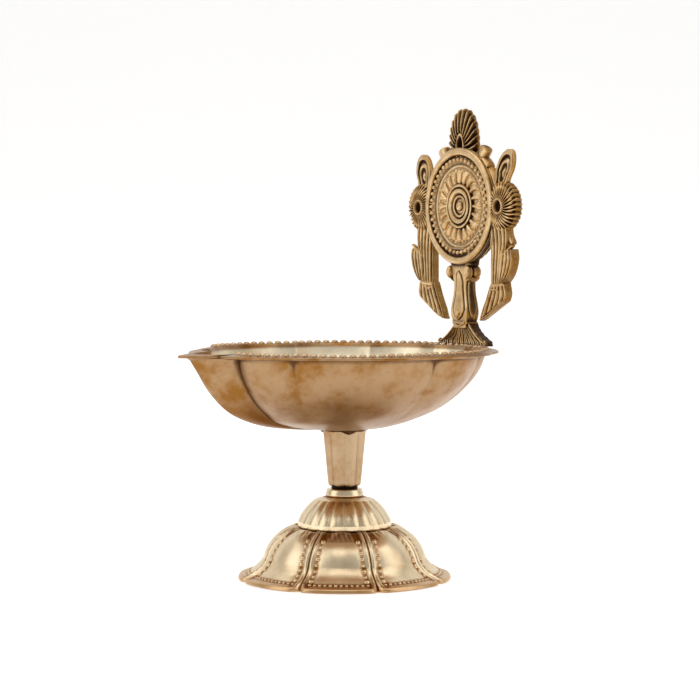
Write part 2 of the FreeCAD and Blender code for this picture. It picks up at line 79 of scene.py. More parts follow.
def smooth_path(points, count):
    """A Catmull-Rom curve through points, in count even steps of its own parameter."""
    points = np.array(points, float)
    padded = np.vstack([2 * points[0] - points[1], points, 2 * points[-1] - points[-2]])
    along = np.linspace(0, len(points) - 1, count)
    first = np.minimum(along.astype(int), len(points) - 2)
    t = (along - first)[:, None]
    a, b, c, d = (padded[first + k] for k in range(4))
    return 0.5 * (2 * b + (c - a) * t + (2 * a - 5 * b + 4 * c - d) * t**2
                  + (3 * b - a - 3 * c + d) * t**3)


def ease(value, low, high):
    """0 below low, 1 above high, smooth between."""
    t = np.clip((value - low) / (high - low), 0.0, 1.0)
    return t * t * (3 - 2 * t)


def hump(value, middle, width):
    """A round ridge of height 1, about twice width across."""
    return np.exp(-(((value - middle) / width) ** 2))


def grid(points):
    """Vertices and quads of a grid of points [row, column, xyz], closed around its columns."""
    rows, columns = points.shape[:2]
    index = np.arange(rows * columns).reshape(rows, columns)
    index = np.hstack([index, index[:, :1]])
    quads = np.stack([index[:-1, :-1], index[:-1, 1:], index[1:, 1:], index[1:, :-1]], axis=-1)
    return points.reshape(-1, 3), quads.reshape(-1, 4)


def turned(path, columns, reach=None):
    """The surface of revolution of a path in radius and height; reach(angle, path) may change its radii."""
    angles = np.linspace(0, 2 * np.pi, columns, endpoint=False)
    radius = path[:, :1] * np.ones(columns)
    height = path[:, 1:2] * np.ones(columns)
    if reach:
        radius, height = reach(angles[None, :], radius, height)
    return grid(np.stack([radius * np.cos(angles), radius * np.sin(angles), height], axis=-1))


def flat_bar(points, plane, half_width, half_depth, count=40, columns=16):
    """A bar of oval section through points (x, z) of the plaque's plane, with rounded ends."""
    line = smooth_path(points, count)
    path = np.stack([line[:, 0], np.full(count, float(plane)), line[:, 1]], axis=-1)
    along = np.gradient(path, axis=0)
    along /= np.linalg.norm(along, axis=1, keepdims=True)
    forward = np.tile([0.0, -1.0, 0.0], (count, 1))
    across = np.cross(along, forward)
    taper = np.clip(1 - np.abs(np.linspace(-1, 1, count)) ** 10, 0.02, 1) ** 0.5
    angles = np.linspace(0, 2 * np.pi, columns, endpoint=False)
    rings = (path[:, None, :]
             + across[:, None, :] * ((half_width * taper)[:, None] * np.cos(angles))[..., None]
             + forward[:, None, :] * ((half_depth * taper)[:, None] * np.sin(angles))[..., None])
    first, last = (np.repeat(path[k][None, None, :], columns, axis=1) for k in (0, -1))
    return grid(np.concatenate([first, rings, last]))


def relief(centre, plane, outline, front, back, columns, rows):
    """A closed cast ornament seen along Y: outline(angle) is its edge, and front and back are its
    thickness each side of the plane by angle and by the share of the way out from the centre."""
    angles = np.linspace(0, 2 * np.pi, columns, endpoint=False)[None, :]
    share = (1 - (1 - np.linspace(0, 1, rows)) ** 1.4)[:, None]
    reach = outline(angles)
    faces = []
    for heights, sign, order in ((front, -1, slice(None)), (back, 1, slice(None, None, -1))):
        x = centre[0] + share * reach * np.cos(angles)
        z = centre[1] + share * reach * np.sin(angles)
        y = plane + sign * heights(angles, share)
        faces.append(np.stack([x, y * np.ones_like(x), z], axis=-1)[order])
    return grid(np.concatenate(faces))


def pleated(inner, outer, plane, half_depth, pleats, depth, count=40, columns=72):
    """A slab of folded ribbon between two edges (x, z), its front in pleats that run along it."""
    inner, outer = smooth_path(inner, count), smooth_path(outer, count)
    share = np.linspace(0, 1, columns)
    fold = np.abs(np.cos(np.pi * (pleats * share + 0.15)))
    edge = np.clip(1 - np.abs(2 * share - 1) ** 12, 0, 1) ** 0.5
    flat = inner[:, None, :] * (1 - share[None, :, None]) + outer[:, None, :] * share[None, :, None]
    end = np.clip(1 - np.abs(np.linspace(-1, 1, count)) ** 24, 0, 1)[:, None] ** 0.5
    front = plane - (half_depth * (0.55 + 0.45 * edge) + depth * (fold - 0.5)) * (0.6 + 0.4 * end)
    back = plane + half_depth * (0.6 + 0.4 * edge) * np.ones((count, 1))
    near = np.stack([flat[..., 0], front, flat[..., 1]], axis=-1)
    far = np.stack([flat[..., 0], back, flat[..., 1]], axis=-1)
    middle = (near + far) / 2
    ring = np.concatenate([near, middle[:, -1:], far[:, ::-1], middle[:, :1]], axis=1)
    close = [np.repeat(middle[k].mean(axis=0)[None, None, :], ring.shape[1], axis=1) for k in (0, -1)]
    return grid(np.concatenate([close[0], ring, close[1]]))


def mirrored(patch):
    """The same patch on the other side of the YZ plane."""
    vertices, faces = patch
    return vertices * [-1, 1, 1], faces


def both(patch):
    """The patch and its mirror image."""
    return [patch, mirrored(patch)]


def capped(rows, plane):
    """A stack of rings (x, y, z), closed at each end to a point over the plane's middle."""
    first, last = (rows[k] * [0, 0, 1] + [0, plane, 0] for k in (0, -1))
    return grid(np.array([first, *rows, last]))


def off_axis(points):
    """How far each point lies from the stem's axis."""
    return np.hypot(points[:, 0], points[:, 1])


def all_over(value):
    """A stain or tarnish that is the same at every vertex."""
    return lambda points, normals: value


# ---- pieces ----------------------------------------------------------------------------------------------


def store(mesh, name, values):
    """Stores a value for each vertex, from 0 to 1, as a named attribute."""
    attribute = mesh.attributes.new(name, "FLOAT", "POINT")
    values = np.broadcast_to(np.clip(values, 0, 1), len(mesh.vertices))
    attribute.data.foreach_set("value", values.astype(np.float32))


def read_rows(items, name, width, kind=float):
    """A property of all of a mesh's vertices or edges, as rows of a width."""
    values = np.empty(len(items) * width, kind)
    items.foreach_get(name, values)
    return values.reshape(-1, width)


def mark_recesses(mesh, reach, depth, stain_and_shade, tarnish):
    """Stores how deep each vertex lies below its smoothed surroundings, with the piece's stain and painted
    shade added, as patina_and_shade, and its tarnish.

    The depth alone is 0.5 on a plane and 1 in a hollow. Ridges stop at 0.3, so that stain and painted shade
    still show there."""
    count = len(mesh.vertices)
    place = read_rows(mesh.vertices, "co", 3)
    normal = read_rows(mesh.vertices, "normal", 3)
    ends = read_rows(mesh.edges, "vertices", 2, int)
    length = np.linalg.norm(place[ends[:, 0]] - place[ends[:, 1]], axis=1)
    pull = 1 / np.maximum(length, 1e-6)
    weight = np.bincount(ends[:, 0], pull, count) + np.bincount(ends[:, 1], pull, count)
    smooth = place.copy()
    rounds = int(np.clip((reach * MM / np.percentile(length, 20)) ** 2, 4, 240))
    for _ in range(rounds):
        total = np.empty_like(smooth)
        for axis in range(3):
            value = smooth[:, axis]
            total[:, axis] = (np.bincount(ends[:, 0], pull * value[ends[:, 1]], count)
                              + np.bincount(ends[:, 1], pull * value[ends[:, 0]], count))
        smooth = 0.5 * smooth + 0.5 * total / np.maximum(weight, 1e-9)[:, None]
    sunk = np.clip(0.5 + 0.5 * ((smooth - place) * normal).sum(axis=1) / (depth * MM), 0.3, 1.0)
    if stain_and_shade:
        sunk += stain_and_shade(place / MM, normal)
    store(mesh, "patina_and_shade", sunk)
    store(mesh, "tarnish", tarnish(place / MM, normal) if tarnish else 0.0)


def closed_mesh(name, points, quads):
    """A mesh of closed patches, turned to metres, its doubled points merged and its faces outwards."""
    mesh = bpy.data.meshes.new(name)
    mesh.from_pydata((points * MM).tolist(), [], quads.tolist())
    work = bmesh.new()
    work.from_mesh(mesh)
    bmesh.ops.remove_doubles(work, verts=work.verts, dist=MERGE_DISTANCE)
    bmesh.ops.recalc_face_normals(work, faces=work.faces)
    work.to_mesh(mesh)
    work.free()
    return mesh


def make_piece(name, patches, material, body, nodes=(), crease=50, reach=0.9, depth=0.25,
               stain_and_shade=None, tarnish=None):
    """Joins closed patches into one mesh, and makes the piece of it."""
    vertices, faces, start = [], [], 0
    for points, quads in patches:
        vertices.append(points)
        faces.append(quads + start)
        start += len(points)
    mesh = closed_mesh(name, np.vstack(vertices), np.vstack(faces))
    finish_piece(name, mesh, material, body, nodes, crease, reach, depth, stain_and_shade, tarnish)


def finish_piece(name, mesh, material, body, nodes, crease, reach, depth, stain_and_shade=None, tarnish=None):
    """Gives a mesh its creases, patina and painted shade, and material, and its object a body, and hides the
    nodes that it stands for.

    Faces meet in a crease from an angle in degrees. A hollow counts as deep at a depth below the surface
    within a reach, both in millimetres. stain_and_shade adds patina and painted shade to each vertex, and
    tarnish makes it duller brass."""
    mesh.shade_smooth()
    mesh.set_sharp_from_angle(angle=math.radians(crease))
    mark_recesses(mesh, reach, depth, stain_and_shade, tarnish)
    mesh.materials.clear()
    mesh.materials.append(material)
    piece = bpy.data.objects.new(name, mesh)
    bpy.context.scene.collection.objects.link(piece)
    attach(piece, body)
    if nodes:
        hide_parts(*nodes)


# ---- materials -------------------------------------------------------------------------------------------


def linear(code):
    """An sRGB hex colour as linear RGBA."""
    parts = [int(code[k:k + 2], 16) / 255 for k in (1, 3, 5)]
    return [p / 12.92 if p <= 0.04045 else ((p + 0.055) / 1.055) ** 2.4 for p in parts] + [1.0]


def add(tree, kind, inputs=None, **settings):
    """Adds a node with its settings, and gives its inputs values or links."""
    node = tree.nodes.new(kind)
    for name, value in settings.items():
        setattr(node, name, value)
    for name, value in (inputs or {}).items():
        if isinstance(value, bpy.types.NodeSocket):
            tree.links.new(value, node.inputs[name])
        else:
            node.inputs[name].default_value = value
    return node


def new_material(name):
    """An empty material and its node tree."""
    material = bpy.data.materials.new(name)
    material.use_nodes = True
    material.node_tree.nodes.clear()
    return material, material.node_tree


def per_mm(size):
    """A pattern's scale, in cells a metre, for a cell of a size in millimetres."""
    return 1 / (size * MM)


# The cast skin's grain breaks up the edge of the patina and painted shade: it adds up to a share to
# patina_and_shade, and its mean is half of that.
GRAIN_MM, GRAIN_SHARE, GRAIN_MEAN = 0.7, 0.16, 0.08


def brass(name, clean, warm, dark, patch_mm, patch_amount, darkening_from, darkening_to, shine, rough,
          pit_mm, pit_depth, speckle, oxide_metallic):
    """Brass by its polished colour, its warm tarnish in cloudy patches, and dark patina in the recesses,
    which the pieces' painted shade also uses.

    Patina and painted shade start and are full where patina_and_shade is at darkening_from and darkening_to.
    Real casting pits are finer than can show, so pit_mm is as coarse as it needs to be. oxide_metallic is the
    patina's share of metal."""
    material, tree = new_material(name)
    place = add(tree, "ShaderNodeTexCoord").outputs["Object"]
    cloud = add(tree, "ShaderNodeTexNoise",
                {"Vector": place, "Scale": per_mm(patch_mm), "Detail": 5.0, "Roughness": 0.62})
    patches = add(tree, "ShaderNodeMapRange", {
        "Value": cloud.outputs["Fac"], "From Min": 0.36, "From Max": 0.80, "To Max": patch_amount},
        interpolation_type="SMOOTHSTEP")
    tarnish = add(tree, "ShaderNodeAttribute", attribute_name="tarnish")
    clouded = add(tree, "ShaderNodeMath", {0: patches.outputs["Result"], 1: tarnish.outputs["Fac"]},
                  operation="ADD", use_clamp=True)
    toned = add(tree, "ShaderNodeMix", {
        "Factor": clouded.outputs["Value"], "A": linear(clean), "B": linear(warm)},
        data_type="RGBA")
    grain = add(tree, "ShaderNodeTexNoise",
                {"Vector": place, "Scale": per_mm(GRAIN_MM), "Detail": 3.0})
    patina_and_shade = add(tree, "ShaderNodeAttribute", attribute_name="patina_and_shade")
    blurred = add(tree, "ShaderNodeMath", {0: grain.outputs["Fac"], 1: GRAIN_SHARE, 2: patina_and_shade.outputs["Fac"]},
                  operation="MULTIPLY_ADD")
    filled = add(tree, "ShaderNodeMapRange", {
        "Value": blurred.outputs["Value"], "From Min": darkening_from + GRAIN_MEAN,
        "From Max": darkening_to + GRAIN_MEAN}, interpolation_type="SMOOTHSTEP")
    specks = add(tree, "ShaderNodeMapRange", {
        "Value": grain.outputs["Fac"], "From Min": 0.63, "From Max": 0.74, "To Max": speckle})
    darkened = add(tree, "ShaderNodeMath", {0: filled.outputs["Result"], 1: specks.outputs["Result"]},
                   operation="MAXIMUM")
    worn = add(tree, "ShaderNodeMix", {
        "Factor": darkened.outputs["Value"], "A": toned.outputs[2], "B": linear(dark)},
        data_type="RGBA")
    roughness = add(tree, "ShaderNodeMapRange", {
        "Value": blurred.outputs["Value"], "From Min": 0.3, "From Max": 0.9,
        "To Min": shine, "To Max": rough})
    pits = add(tree, "ShaderNodeTexNoise",
               {"Vector": place, "Scale": per_mm(pit_mm), "Detail": 4.0, "Roughness": 0.7})
    bump = add(tree, "ShaderNodeBump",
               {"Height": pits.outputs["Fac"], "Strength": 1.0, "Distance": pit_depth * MM})
    bare = add(tree, "ShaderNodeMapRange", {
        "Value": darkened.outputs["Value"], "To Min": 1.0, "To Max": oxide_metallic})
    surface = add(tree, "ShaderNodeBsdfPrincipled", {
        "Base Color": worn.outputs[2], "Metallic": bare.outputs["Result"],
        "Roughness": roughness.outputs["Result"], "Normal": bump.outputs["Normal"]})
    add(tree, "ShaderNodeOutputMaterial", {"Surface": surface.outputs["BSDF"]})
    return material


# satin brass, buffed and then left to tarnish: broad soft reflections, amber clouds, fine casting pits
BOWL_BRASS = brass(
    "satin_tarnished_brass", clean="#ecdec0", warm="#8a5e2c", dark="#553517", patch_mm=9.0, patch_amount=0.30,
    darkening_from=0.64, darkening_to=1.0, shine=0.30, rough=0.44, pit_mm=0.45, pit_depth=0.03, speckle=0.35,
    oxide_metallic=0.8)
# brighter buffed brass: sharper reflections, brown lacquer-like patina where a buff can't reach
FOOT_BRASS = brass(
    "buffed_pale_brass", clean="#e6d3b0", warm="#b98038", dark="#85500f", patch_mm=7.0, patch_amount=0.35,
    darkening_from=0.56, darkening_to=0.84, shine=0.24, rough=0.42, pit_mm=0.35, pit_depth=0.02, speckle=0.15,
    oxide_metallic=0.9)
# antiqued cast brass: chemically darkened, then rubbed back so that only raised metal shows
PLAQUE_BRASS = brass(
    "antiqued_cast_brass", clean="#dcbd8f", warm="#9a6f34", dark="#38220e", patch_mm=3.0, patch_amount=0.6,
    darkening_from=0.43, darkening_to=0.74, shine=0.32, rough=0.60, pit_mm=0.3, pit_depth=0.04, speckle=0.3,
    oxide_metallic=0.85)
# brazing metal, left dark and dull by its flux
BRAZE_METAL = brass(
    "dark_braze", clean="#5b3e22", warm="#3a2512", dark="#140d08", patch_mm=1.5, patch_amount=0.6,
    darkening_from=0.5, darkening_to=0.8, shine=0.5, rough=0.7, pit_mm=0.3, pit_depth=0.06, speckle=0.3,
    oxide_metallic=0.2)
# oiled mild steel: dull grey-brown, dark where oil and dirt gather
FASTENER_STEEL = brass(
    "oiled_mild_steel", clean="#5a5048", warm="#40352b", dark="#1f150d", patch_mm=2.0, patch_amount=0.6,
    darkening_from=0.5, darkening_to=0.8, shine=0.38, rough=0.55, pit_mm=0.25, pit_depth=0.02, speckle=0.3,
    oxide_metallic=1.0)


# ---- what repeats: shapes set on points ------------------------------------------------------------------


def setting_tree():
    """Geometry Nodes that set a shape on each point, facing and turned by the points' attributes."""
    tree = bpy.data.node_groups.new("set_shapes_on_points", "GeometryNodeTree")
    sockets = (
        ("Geometry", "INPUT", "NodeSocketGeometry"),
        ("Shape", "INPUT", "NodeSocketObject"),
        ("Unevenness", "INPUT", "NodeSocketFloat"),
        ("Seed", "INPUT", "NodeSocketInt"),
        ("Material", "INPUT", "NodeSocketMaterial"),
        ("Geometry", "OUTPUT", "NodeSocketGeometry"),
    )
    for name, side, kind in sockets:
        tree.interface.new_socket(name, in_out=side, socket_type=kind)
    given = add(tree, "NodeGroupInput").outputs
    shape = add(tree, "GeometryNodeObjectInfo", {"Object": given["Shape"]})
    facing = add(tree, "GeometryNodeInputNamedAttribute", {"Name": "facing"}, data_type="FLOAT_VECTOR")
    along = add(tree, "GeometryNodeInputNamedAttribute", {"Name": "along"}, data_type="FLOAT_VECTOR")
    size = add(tree, "GeometryNodeInputNamedAttribute", {"Name": "size"}, data_type="FLOAT")
    upright = add(tree, "FunctionNodeAlignRotationToVector", {"Vector": facing.outputs["Attribute"]},
                  axis="Z")
    turned_to = add(tree, "FunctionNodeAlignRotationToVector",
                    {"Rotation": upright.outputs["Rotation"], "Vector": along.outputs["Attribute"]},
                    axis="X", pivot_axis="Z")
    low = add(tree, "ShaderNodeMath", {0: 1.0, 1: given["Unevenness"]}, operation="SUBTRACT")
    high = add(tree, "ShaderNodeMath", {0: 1.0, 1: given["Unevenness"]}, operation="ADD")
    chance = add(tree, "FunctionNodeRandomValue",
                 {2: low.outputs[0], 3: high.outputs[0], "Seed": given["Seed"]}, data_type="FLOAT")
    scale = add(tree, "ShaderNodeMath", {0: chance.outputs[1], 1: size.outputs["Attribute"]},
                operation="MULTIPLY")
    placed = add(tree, "GeometryNodeInstanceOnPoints", {
        "Points": given["Geometry"], "Instance": shape.outputs["Geometry"],
        "Rotation": turned_to.outputs["Rotation"], "Scale": scale.outputs[0]})
    real = add(tree, "GeometryNodeRealizeInstances", {"Geometry": placed.outputs["Instances"]})
    finished = add(tree, "GeometryNodeSetMaterial",
                   {"Geometry": real.outputs["Geometry"], "Material": given["Material"]})
    add(tree, "NodeGroupOutput", {"Geometry": finished.outputs["Geometry"]})
    return tree


SETTING = setting_tree()


def set_shapes(name, shape, points, facing, along, size, material, body, nodes=(), slot=None,
               unevenness=0.0, seed=1, reach=0.5, depth=0.15, tarnish=None):
    """One mesh of a patch repeated on points, each facing outwards and turned along a direction."""
    template = bpy.data.objects.new("template", closed_mesh("template", *shape))
    bpy.context.scene.collection.objects.link(template)
    count = len(points)
    carrier_mesh = bpy.data.meshes.new("carrier")
    carrier_mesh.from_pydata((np.array(points) * MM).tolist(), [], [])
    for key, values in (("facing", facing), ("along", along)):
        attribute = carrier_mesh.attributes.new(key, "FLOAT_VECTOR", "POINT")
        values = np.broadcast_to(values, (count, 3)).astype(np.float32)
        attribute.data.foreach_set("vector", values.ravel())
    attribute = carrier_mesh.attributes.new("size", "FLOAT", "POINT")
    attribute.data.foreach_set("value", np.broadcast_to(size, count).astype(np.float32))
    carrier = bpy.data.objects.new("carrier", carrier_mesh)
    bpy.context.scene.collection.objects.link(carrier)
    modifier = carrier.modifiers.new("set", "NODES")
    modifier.node_group = SETTING
    given = {"Shape": template, "Unevenness": unevenness, "Seed": seed, "Material": material}
    for item in SETTING.interface.items_tree:
        if item.in_out == "INPUT" and item.name in given:
            modifier[item.identifier] = given[item.name]
    bpy.context.view_layer.update()
    ready = carrier.evaluated_get(bpy.context.evaluated_depsgraph_get())
    mesh = bpy.data.meshes.new_from_object(ready)
    for used in (carrier, template):
        bpy.data.objects.remove(used)
    for key in ("facing", "along", "size"):
        if key in mesh.attributes:
            mesh.attributes.remove(mesh.attributes[key])
    finish_piece(name, mesh, material, body, nodes, 85, reach, depth, None, tarnish)


def bead(width, height, columns=12, rows=5):
    """A low round bead standing on the plane, with its foot a little below it."""
    rise = np.linspace(-0.25, 1, rows) * np.pi / 2
    path = np.stack([width / 2 * np.cos(np.maximum(rise, 0)), height * np.sin(rise)], axis=-1)
    path = np.vstack([[0, path[0, 1]], path])
    return turned(path, columns)


# ---- bowl ------------------------------------------------------------------------------------------------

# The bowl's wall by height: its radius at the round back, at the seam beside the spout and at the spout's
# tip, and that seam's angle from the spout in degrees.
BOWL_LEVELS = (
    (44.3, 7.5, 8.3, 9.5, 4.0),
    (44.8, 11.5, 13.5, 17.5, 4.0),
    (45.8, 16.0, 19.5, 25.6, 5.0),
    (47.4, 21.0, 25.5, 32.0, 7.0),
    (50.0, 27.0, 30.0, 38.0, 9.5),
    (53.4, 32.0, 34.9, 42.4, 11.5),
    (57.4, 36.2, 38.7, 45.9, 12.5),
    (61.8, 39.4, 41.3, 48.7, 12.5),
    (66.6, 41.2, 43.0, 51.9, 12.5),
)
# The other seams between lobes: the wall's angle, how far it is pinched in at the rim, and the flange's
# angle and radius.
SEAMS = (
    (37.7, 1.4, 37.7, 43.8),
    (98.5, 1.9, 94.6, 44.3),
    (134.5, 1.2, 133.0, 44.4),
    (168.0, 1.2, 168.0, 44.7),
)
SEAM_COLUMNS = (12, 26, 46, 32, 30, 12)
BACK_STARTS_AT = 105.0
RIM_BOTTOM, RIM_TOP = 66.6, 67.8
BOWL_INSET, BOWL_FLOOR_RISE = 1.26, 1.6
LIP_REACH, LIP_SEAM = 55.4, (8.5, 46.5)
TOP_LEVEL = np.array([RIM_TOP, *BOWL_LEVELS[-1][1:]])


def lobed_ring(tip, seams, crowns, squareness):
    """The plan (x, y) of a ring of lobes, with the same number of points whatever its size."""
    point = np.array([0.0, -tip])
    turn = math.radians(seams[0][0])
    along = seams[0][1] * np.array([math.sin(turn), -math.cos(turn)]) - point
    outward = np.array([along[1], -along[0]])
    share = np.linspace(0, 1, SEAM_COLUMNS[0], endpoint=False)
    right = [point + share[:, None] * along + 0.12 * outward * (4 * share * (1 - share))[:, None]]
    stops = list(seams) + [(360 - seams[-1][0], seams[-1][1])]
    for index, crown in enumerate(crowns):
        (angle, radius), (next_angle, next_radius) = stops[index], stops[index + 1]
        last = index == len(crowns) - 1
        share = np.linspace(0, 0.5 if last else 1, SEAM_COLUMNS[index + 1], endpoint=last)
        rise = crown - (radius + next_radius) / 2
        reach = (radius + (next_radius - radius) * share
                 + rise * (1 - np.abs(2 * share - 1) ** squareness))
        turn = np.radians(angle + (next_angle - angle) * share)
        right.append(np.stack([reach * np.sin(turn), -reach * np.cos(turn)], axis=-1))
    half = np.vstack(right)
    return np.vstack([half, half[-2:0:-1] * [-1, 1]])


def wall_ring(level, inset=0.0):
    """The wall's plan at one level of (height, back, seam, tip, seam angle)."""
    height, back, seam, tip, seam_angle = level
    depth_share = (height - BOWL_LEVELS[0][0]) / (BOWL_LEVELS[-1][0] - BOWL_LEVELS[0][0])

    def radius(angle):
        share = np.clip((angle - seam_angle) / (BACK_STARTS_AT - seam_angle), 0, 1)
        return seam + (back - seam) * (1 - math.cos(math.pi * share)) / 2 - inset

    seams = [(seam_angle, seam - inset - 0.7 * depth_share)]
    seams += [(angle, radius(angle) - pinch * depth_share) for angle, pinch, _, _ in SEAMS]
    angles = [angle for angle, _ in seams] + [192.0]
    crowns = [radius((a + b) / 2) + 0.6 * depth_share for a, b in zip(angles, angles[1:])]
    return lobed_ring(tip - inset, seams, crowns, 2.1)


def flange_ring(inset=0.0):
    """The flange's plan, each lobe's end rounded where it meets the next."""
    seams = [(LIP_SEAM[0], LIP_SEAM[1] - inset)] + [(angle, reach - inset) for _, _, angle, reach in SEAMS]
    radii = [reach for _, reach in seams] + [seams[-1][1]]
    crowns = [(a + b) / 2 + 0.9 for a, b in zip(radii, radii[1:])]
    return lobed_ring(LIP_REACH - inset, seams, crowns, 3.4)


def bead_line():
    """The plan of the ring that the rim's beads stand on."""
    return wall_ring(TOP_LEVEL, 0.15)


def from_spout(points):
    """Each point's angle from the spout's middle, in degrees to either side."""
    return np.degrees(np.arctan2(np.abs(points[:, 0]), -points[:, 1]))


def bowl_tarnish(points, normals):
    """The bowl's outside is duller than its inside, most of all low on the spout, and its rim between."""
    radius = np.maximum(off_axis(points), 1e-6)
    outward = (normals[:, 0] * points[:, 0] + normals[:, 1] * points[:, 1]) / radius
    outside = np.maximum(ease(outward, 0.0, 0.15), ease(-normals[:, 2], 0.0, 0.3))
    spout = np.clip(1 - from_spout(points) / 14, 0, 1) ** 0.5 * ease(-points[:, 2], -58, -48)
    flange = points[:, 2] > RIM_BOTTOM - 0.1
    return np.where(flange, 0.85, outside * (0.82 + 0.18 * spout))


def plan_distance(plan, points):
    """How far each point lies from a closed plan, by their radii at the same angle."""
    turn = np.arctan2(plan[:, 1], plan[:, 0])
    order = np.argsort(turn)
    here = np.arctan2(points[:, 1], points[:, 0])
    edge = np.interp(here, turn[order], np.hypot(*plan.T)[order], period=2 * np.pi)
    return off_axis(points) - edge


def bowl_patina_and_shade(points, normals):
    """Patina between the rim's beads, and painted shade round the tops of the seams under the flange and in a
    band just under it.
    """
    height = points[:, 2]
    beaded = 0.45 * hump(plan_distance(bead_line(), points), 0.0, 1.1) * (height > RIM_TOP - 0.3)
    angle, radius = from_spout(points), off_axis(points)
    high = ease(height, 52, 66) * (height < RIM_BOTTOM)
    seams = [BOWL_LEVELS[-1][4]] + [seam[0] for seam in SEAMS]
    near = sum(hump(np.radians(angle - seam) * radius, 0.0, 1.6) for seam in seams)
    # The seam tops and the band just under the flange get painted shade.
    return beaded + high * (0.07 * near + 0.04 * ease(height, 61, 66.5))


def make_bowl():
    """The bowl's skin in one closed sheet: outer wall, flange and inner wall."""
    rows = []

    def add_row(plan, height):
        rows.append(np.column_stack([plan, np.full(len(plan), height)]))

    outer = smooth_path(BOWL_LEVELS, 64)
    add_row(wall_ring(outer[0]) * 0.0, outer[0][0])
    add_row(wall_ring(outer[0]) * 0.6, outer[0][0])
    for level in outer[:-1]:
        add_row(wall_ring(level), level[0])
    rim = wall_ring(outer[-1])
    edge = flange_ring()
    for share, drop in ((0.02, 0.35), (0.10, 0.12), (0.22, 0.0), (0.6, -0.05)):
        add_row(rim + (edge - rim) * share, RIM_BOTTOM - drop)
    thick, edge_drop = 0.38, 0.35
    for step in np.linspace(-80, 90, 9):
        turn = math.radians(step)
        plan = flange_ring(thick * (1 - math.cos(turn)))
        add_row(plan, RIM_TOP - edge_drop - thick + thick * math.sin(turn))
    lip = wall_ring(TOP_LEVEL, BOWL_INSET - 0.35)
    top_edge = flange_ring(thick)
    for share, drop in ((0.3, 0.24), (0.6, 0.10), (0.85, 0.0)):
        add_row(top_edge + (lip - top_edge) * share, RIM_TOP - drop)
    add_row(wall_ring(TOP_LEVEL, BOWL_INSET - 0.12), RIM_TOP - 0.06)
    add_row(wall_ring(TOP_LEVEL, BOWL_INSET - 0.02), RIM_TOP - 0.22)
    inner = smooth_path(BOWL_LEVELS, 56)[::-1]
    for level in inner:
        raised = level + [BOWL_FLOOR_RISE, 0, 0, 0, 0]
        if raised[0] < RIM_TOP - 0.35:
            add_row(wall_ring(level, BOWL_INSET), raised[0])
    add_row(wall_ring(inner[-1], BOWL_INSET) * 0.6, inner[-1][0] + BOWL_FLOOR_RISE)
    add_row(wall_ring(inner[-1]) * 0.0, inner[-1][0] + BOWL_FLOOR_RISE)
    make_piece("lobed_bowl", [grid(np.array(rows))], BOWL_BRASS, LAMP, ["oil_bowl"],
               crease=38, reach=1.8, depth=0.4, stain_and_shade=bowl_patina_and_shade, tarnish=bowl_tarnish)


def walk(line, pitch):
    """Points evenly spaced along a line, and the line's direction there."""
    lengths = np.concatenate([[0], np.cumsum(np.linalg.norm(np.diff(line, axis=0), axis=1))])
    count = max(2, round(lengths[-1] / pitch) + 1)
    at = np.linspace(0, lengths[-1], count)
    points = np.column_stack([np.interp(at, lengths, line[:, k]) for k in range(3)])
    ways = np.gradient(points, axis=0)
    return points, ways / np.linalg.norm(ways, axis=1, keepdims=True)


def make_rim_beads():
    """The row of beads round the rim, from one side of the spout to the other."""
    start = SEAM_COLUMNS[0] + 1
    plan = bead_line()[start:1 - start]
    points, ways = walk(np.column_stack([plan, np.full(len(plan), RIM_TOP - 0.2)]), 2.75)
    shown = (points[:, 0] > 0) | (np.arctan2(-points[:, 0], -points[:, 1]) > math.radians(50))
    points, ways = points[shown], ways[shown]
    set_shapes("rim_beads", bead(2.3, 0.95, 16, 7), points, (0, 0, 1), ways, 1.0, BOWL_BRASS, LAMP,
               ["oil_bowl"], "bowl_brass", unevenness=0.05, seed=4, reach=0.6, depth=0.25,
               tarnish=all_over(0.7))


# ---- stem and foot ---------------------------------------------------------------------------------------

STUD_RADIUS, THREAD_PITCH = 3.0, 1.0
STEM_TURN = math.radians(-32)
PETALS = 8
PETAL_TURN = math.radians(-35.5)
DOME_RIBS = 20


def lobes(angles, count, turn, sharpness):
    """0 in the valleys between lobes and 1 along their middles."""
    return np.abs(np.sin(count * (angles - turn) / 2)) ** sharpness


def make_stem():
    """The tapered stem: eight flutes with a scalloped lower edge, and a bore for the stud."""
    low, high = node_box("fluted_stem")
    foot, top = low[2], high[2]
    path = traced([(0, 40.5), (3.05, 40.5), (3.05, foot), (4.4, foot), (4.8, foot + 0.12),
                   (5.1, foot + 0.8), (6.6, top - 0.5), (6.6, top), (0, top)], 0.35)

    def reach(angles, radius, height):
        outside = ease(radius, 3.6, 4.4)
        lobe = lobes(angles, 8, STEM_TURN, 0.8)
        depth = 0.62 * (1 - 0.4 * ease(height, top - 2, top))
        scallop = 0.15 * (1 - lobe) * (1 - ease(height, foot, foot + 1.5))
        return radius - depth * (1 - lobe) * outside, height + scallop * outside

    make_piece("fluted_stem", [turned(path, 240, reach)], BOWL_BRASS, LAMP, ["fluted_stem"],
               crease=60, reach=1.2, depth=0.5, tarnish=all_over(0.68))


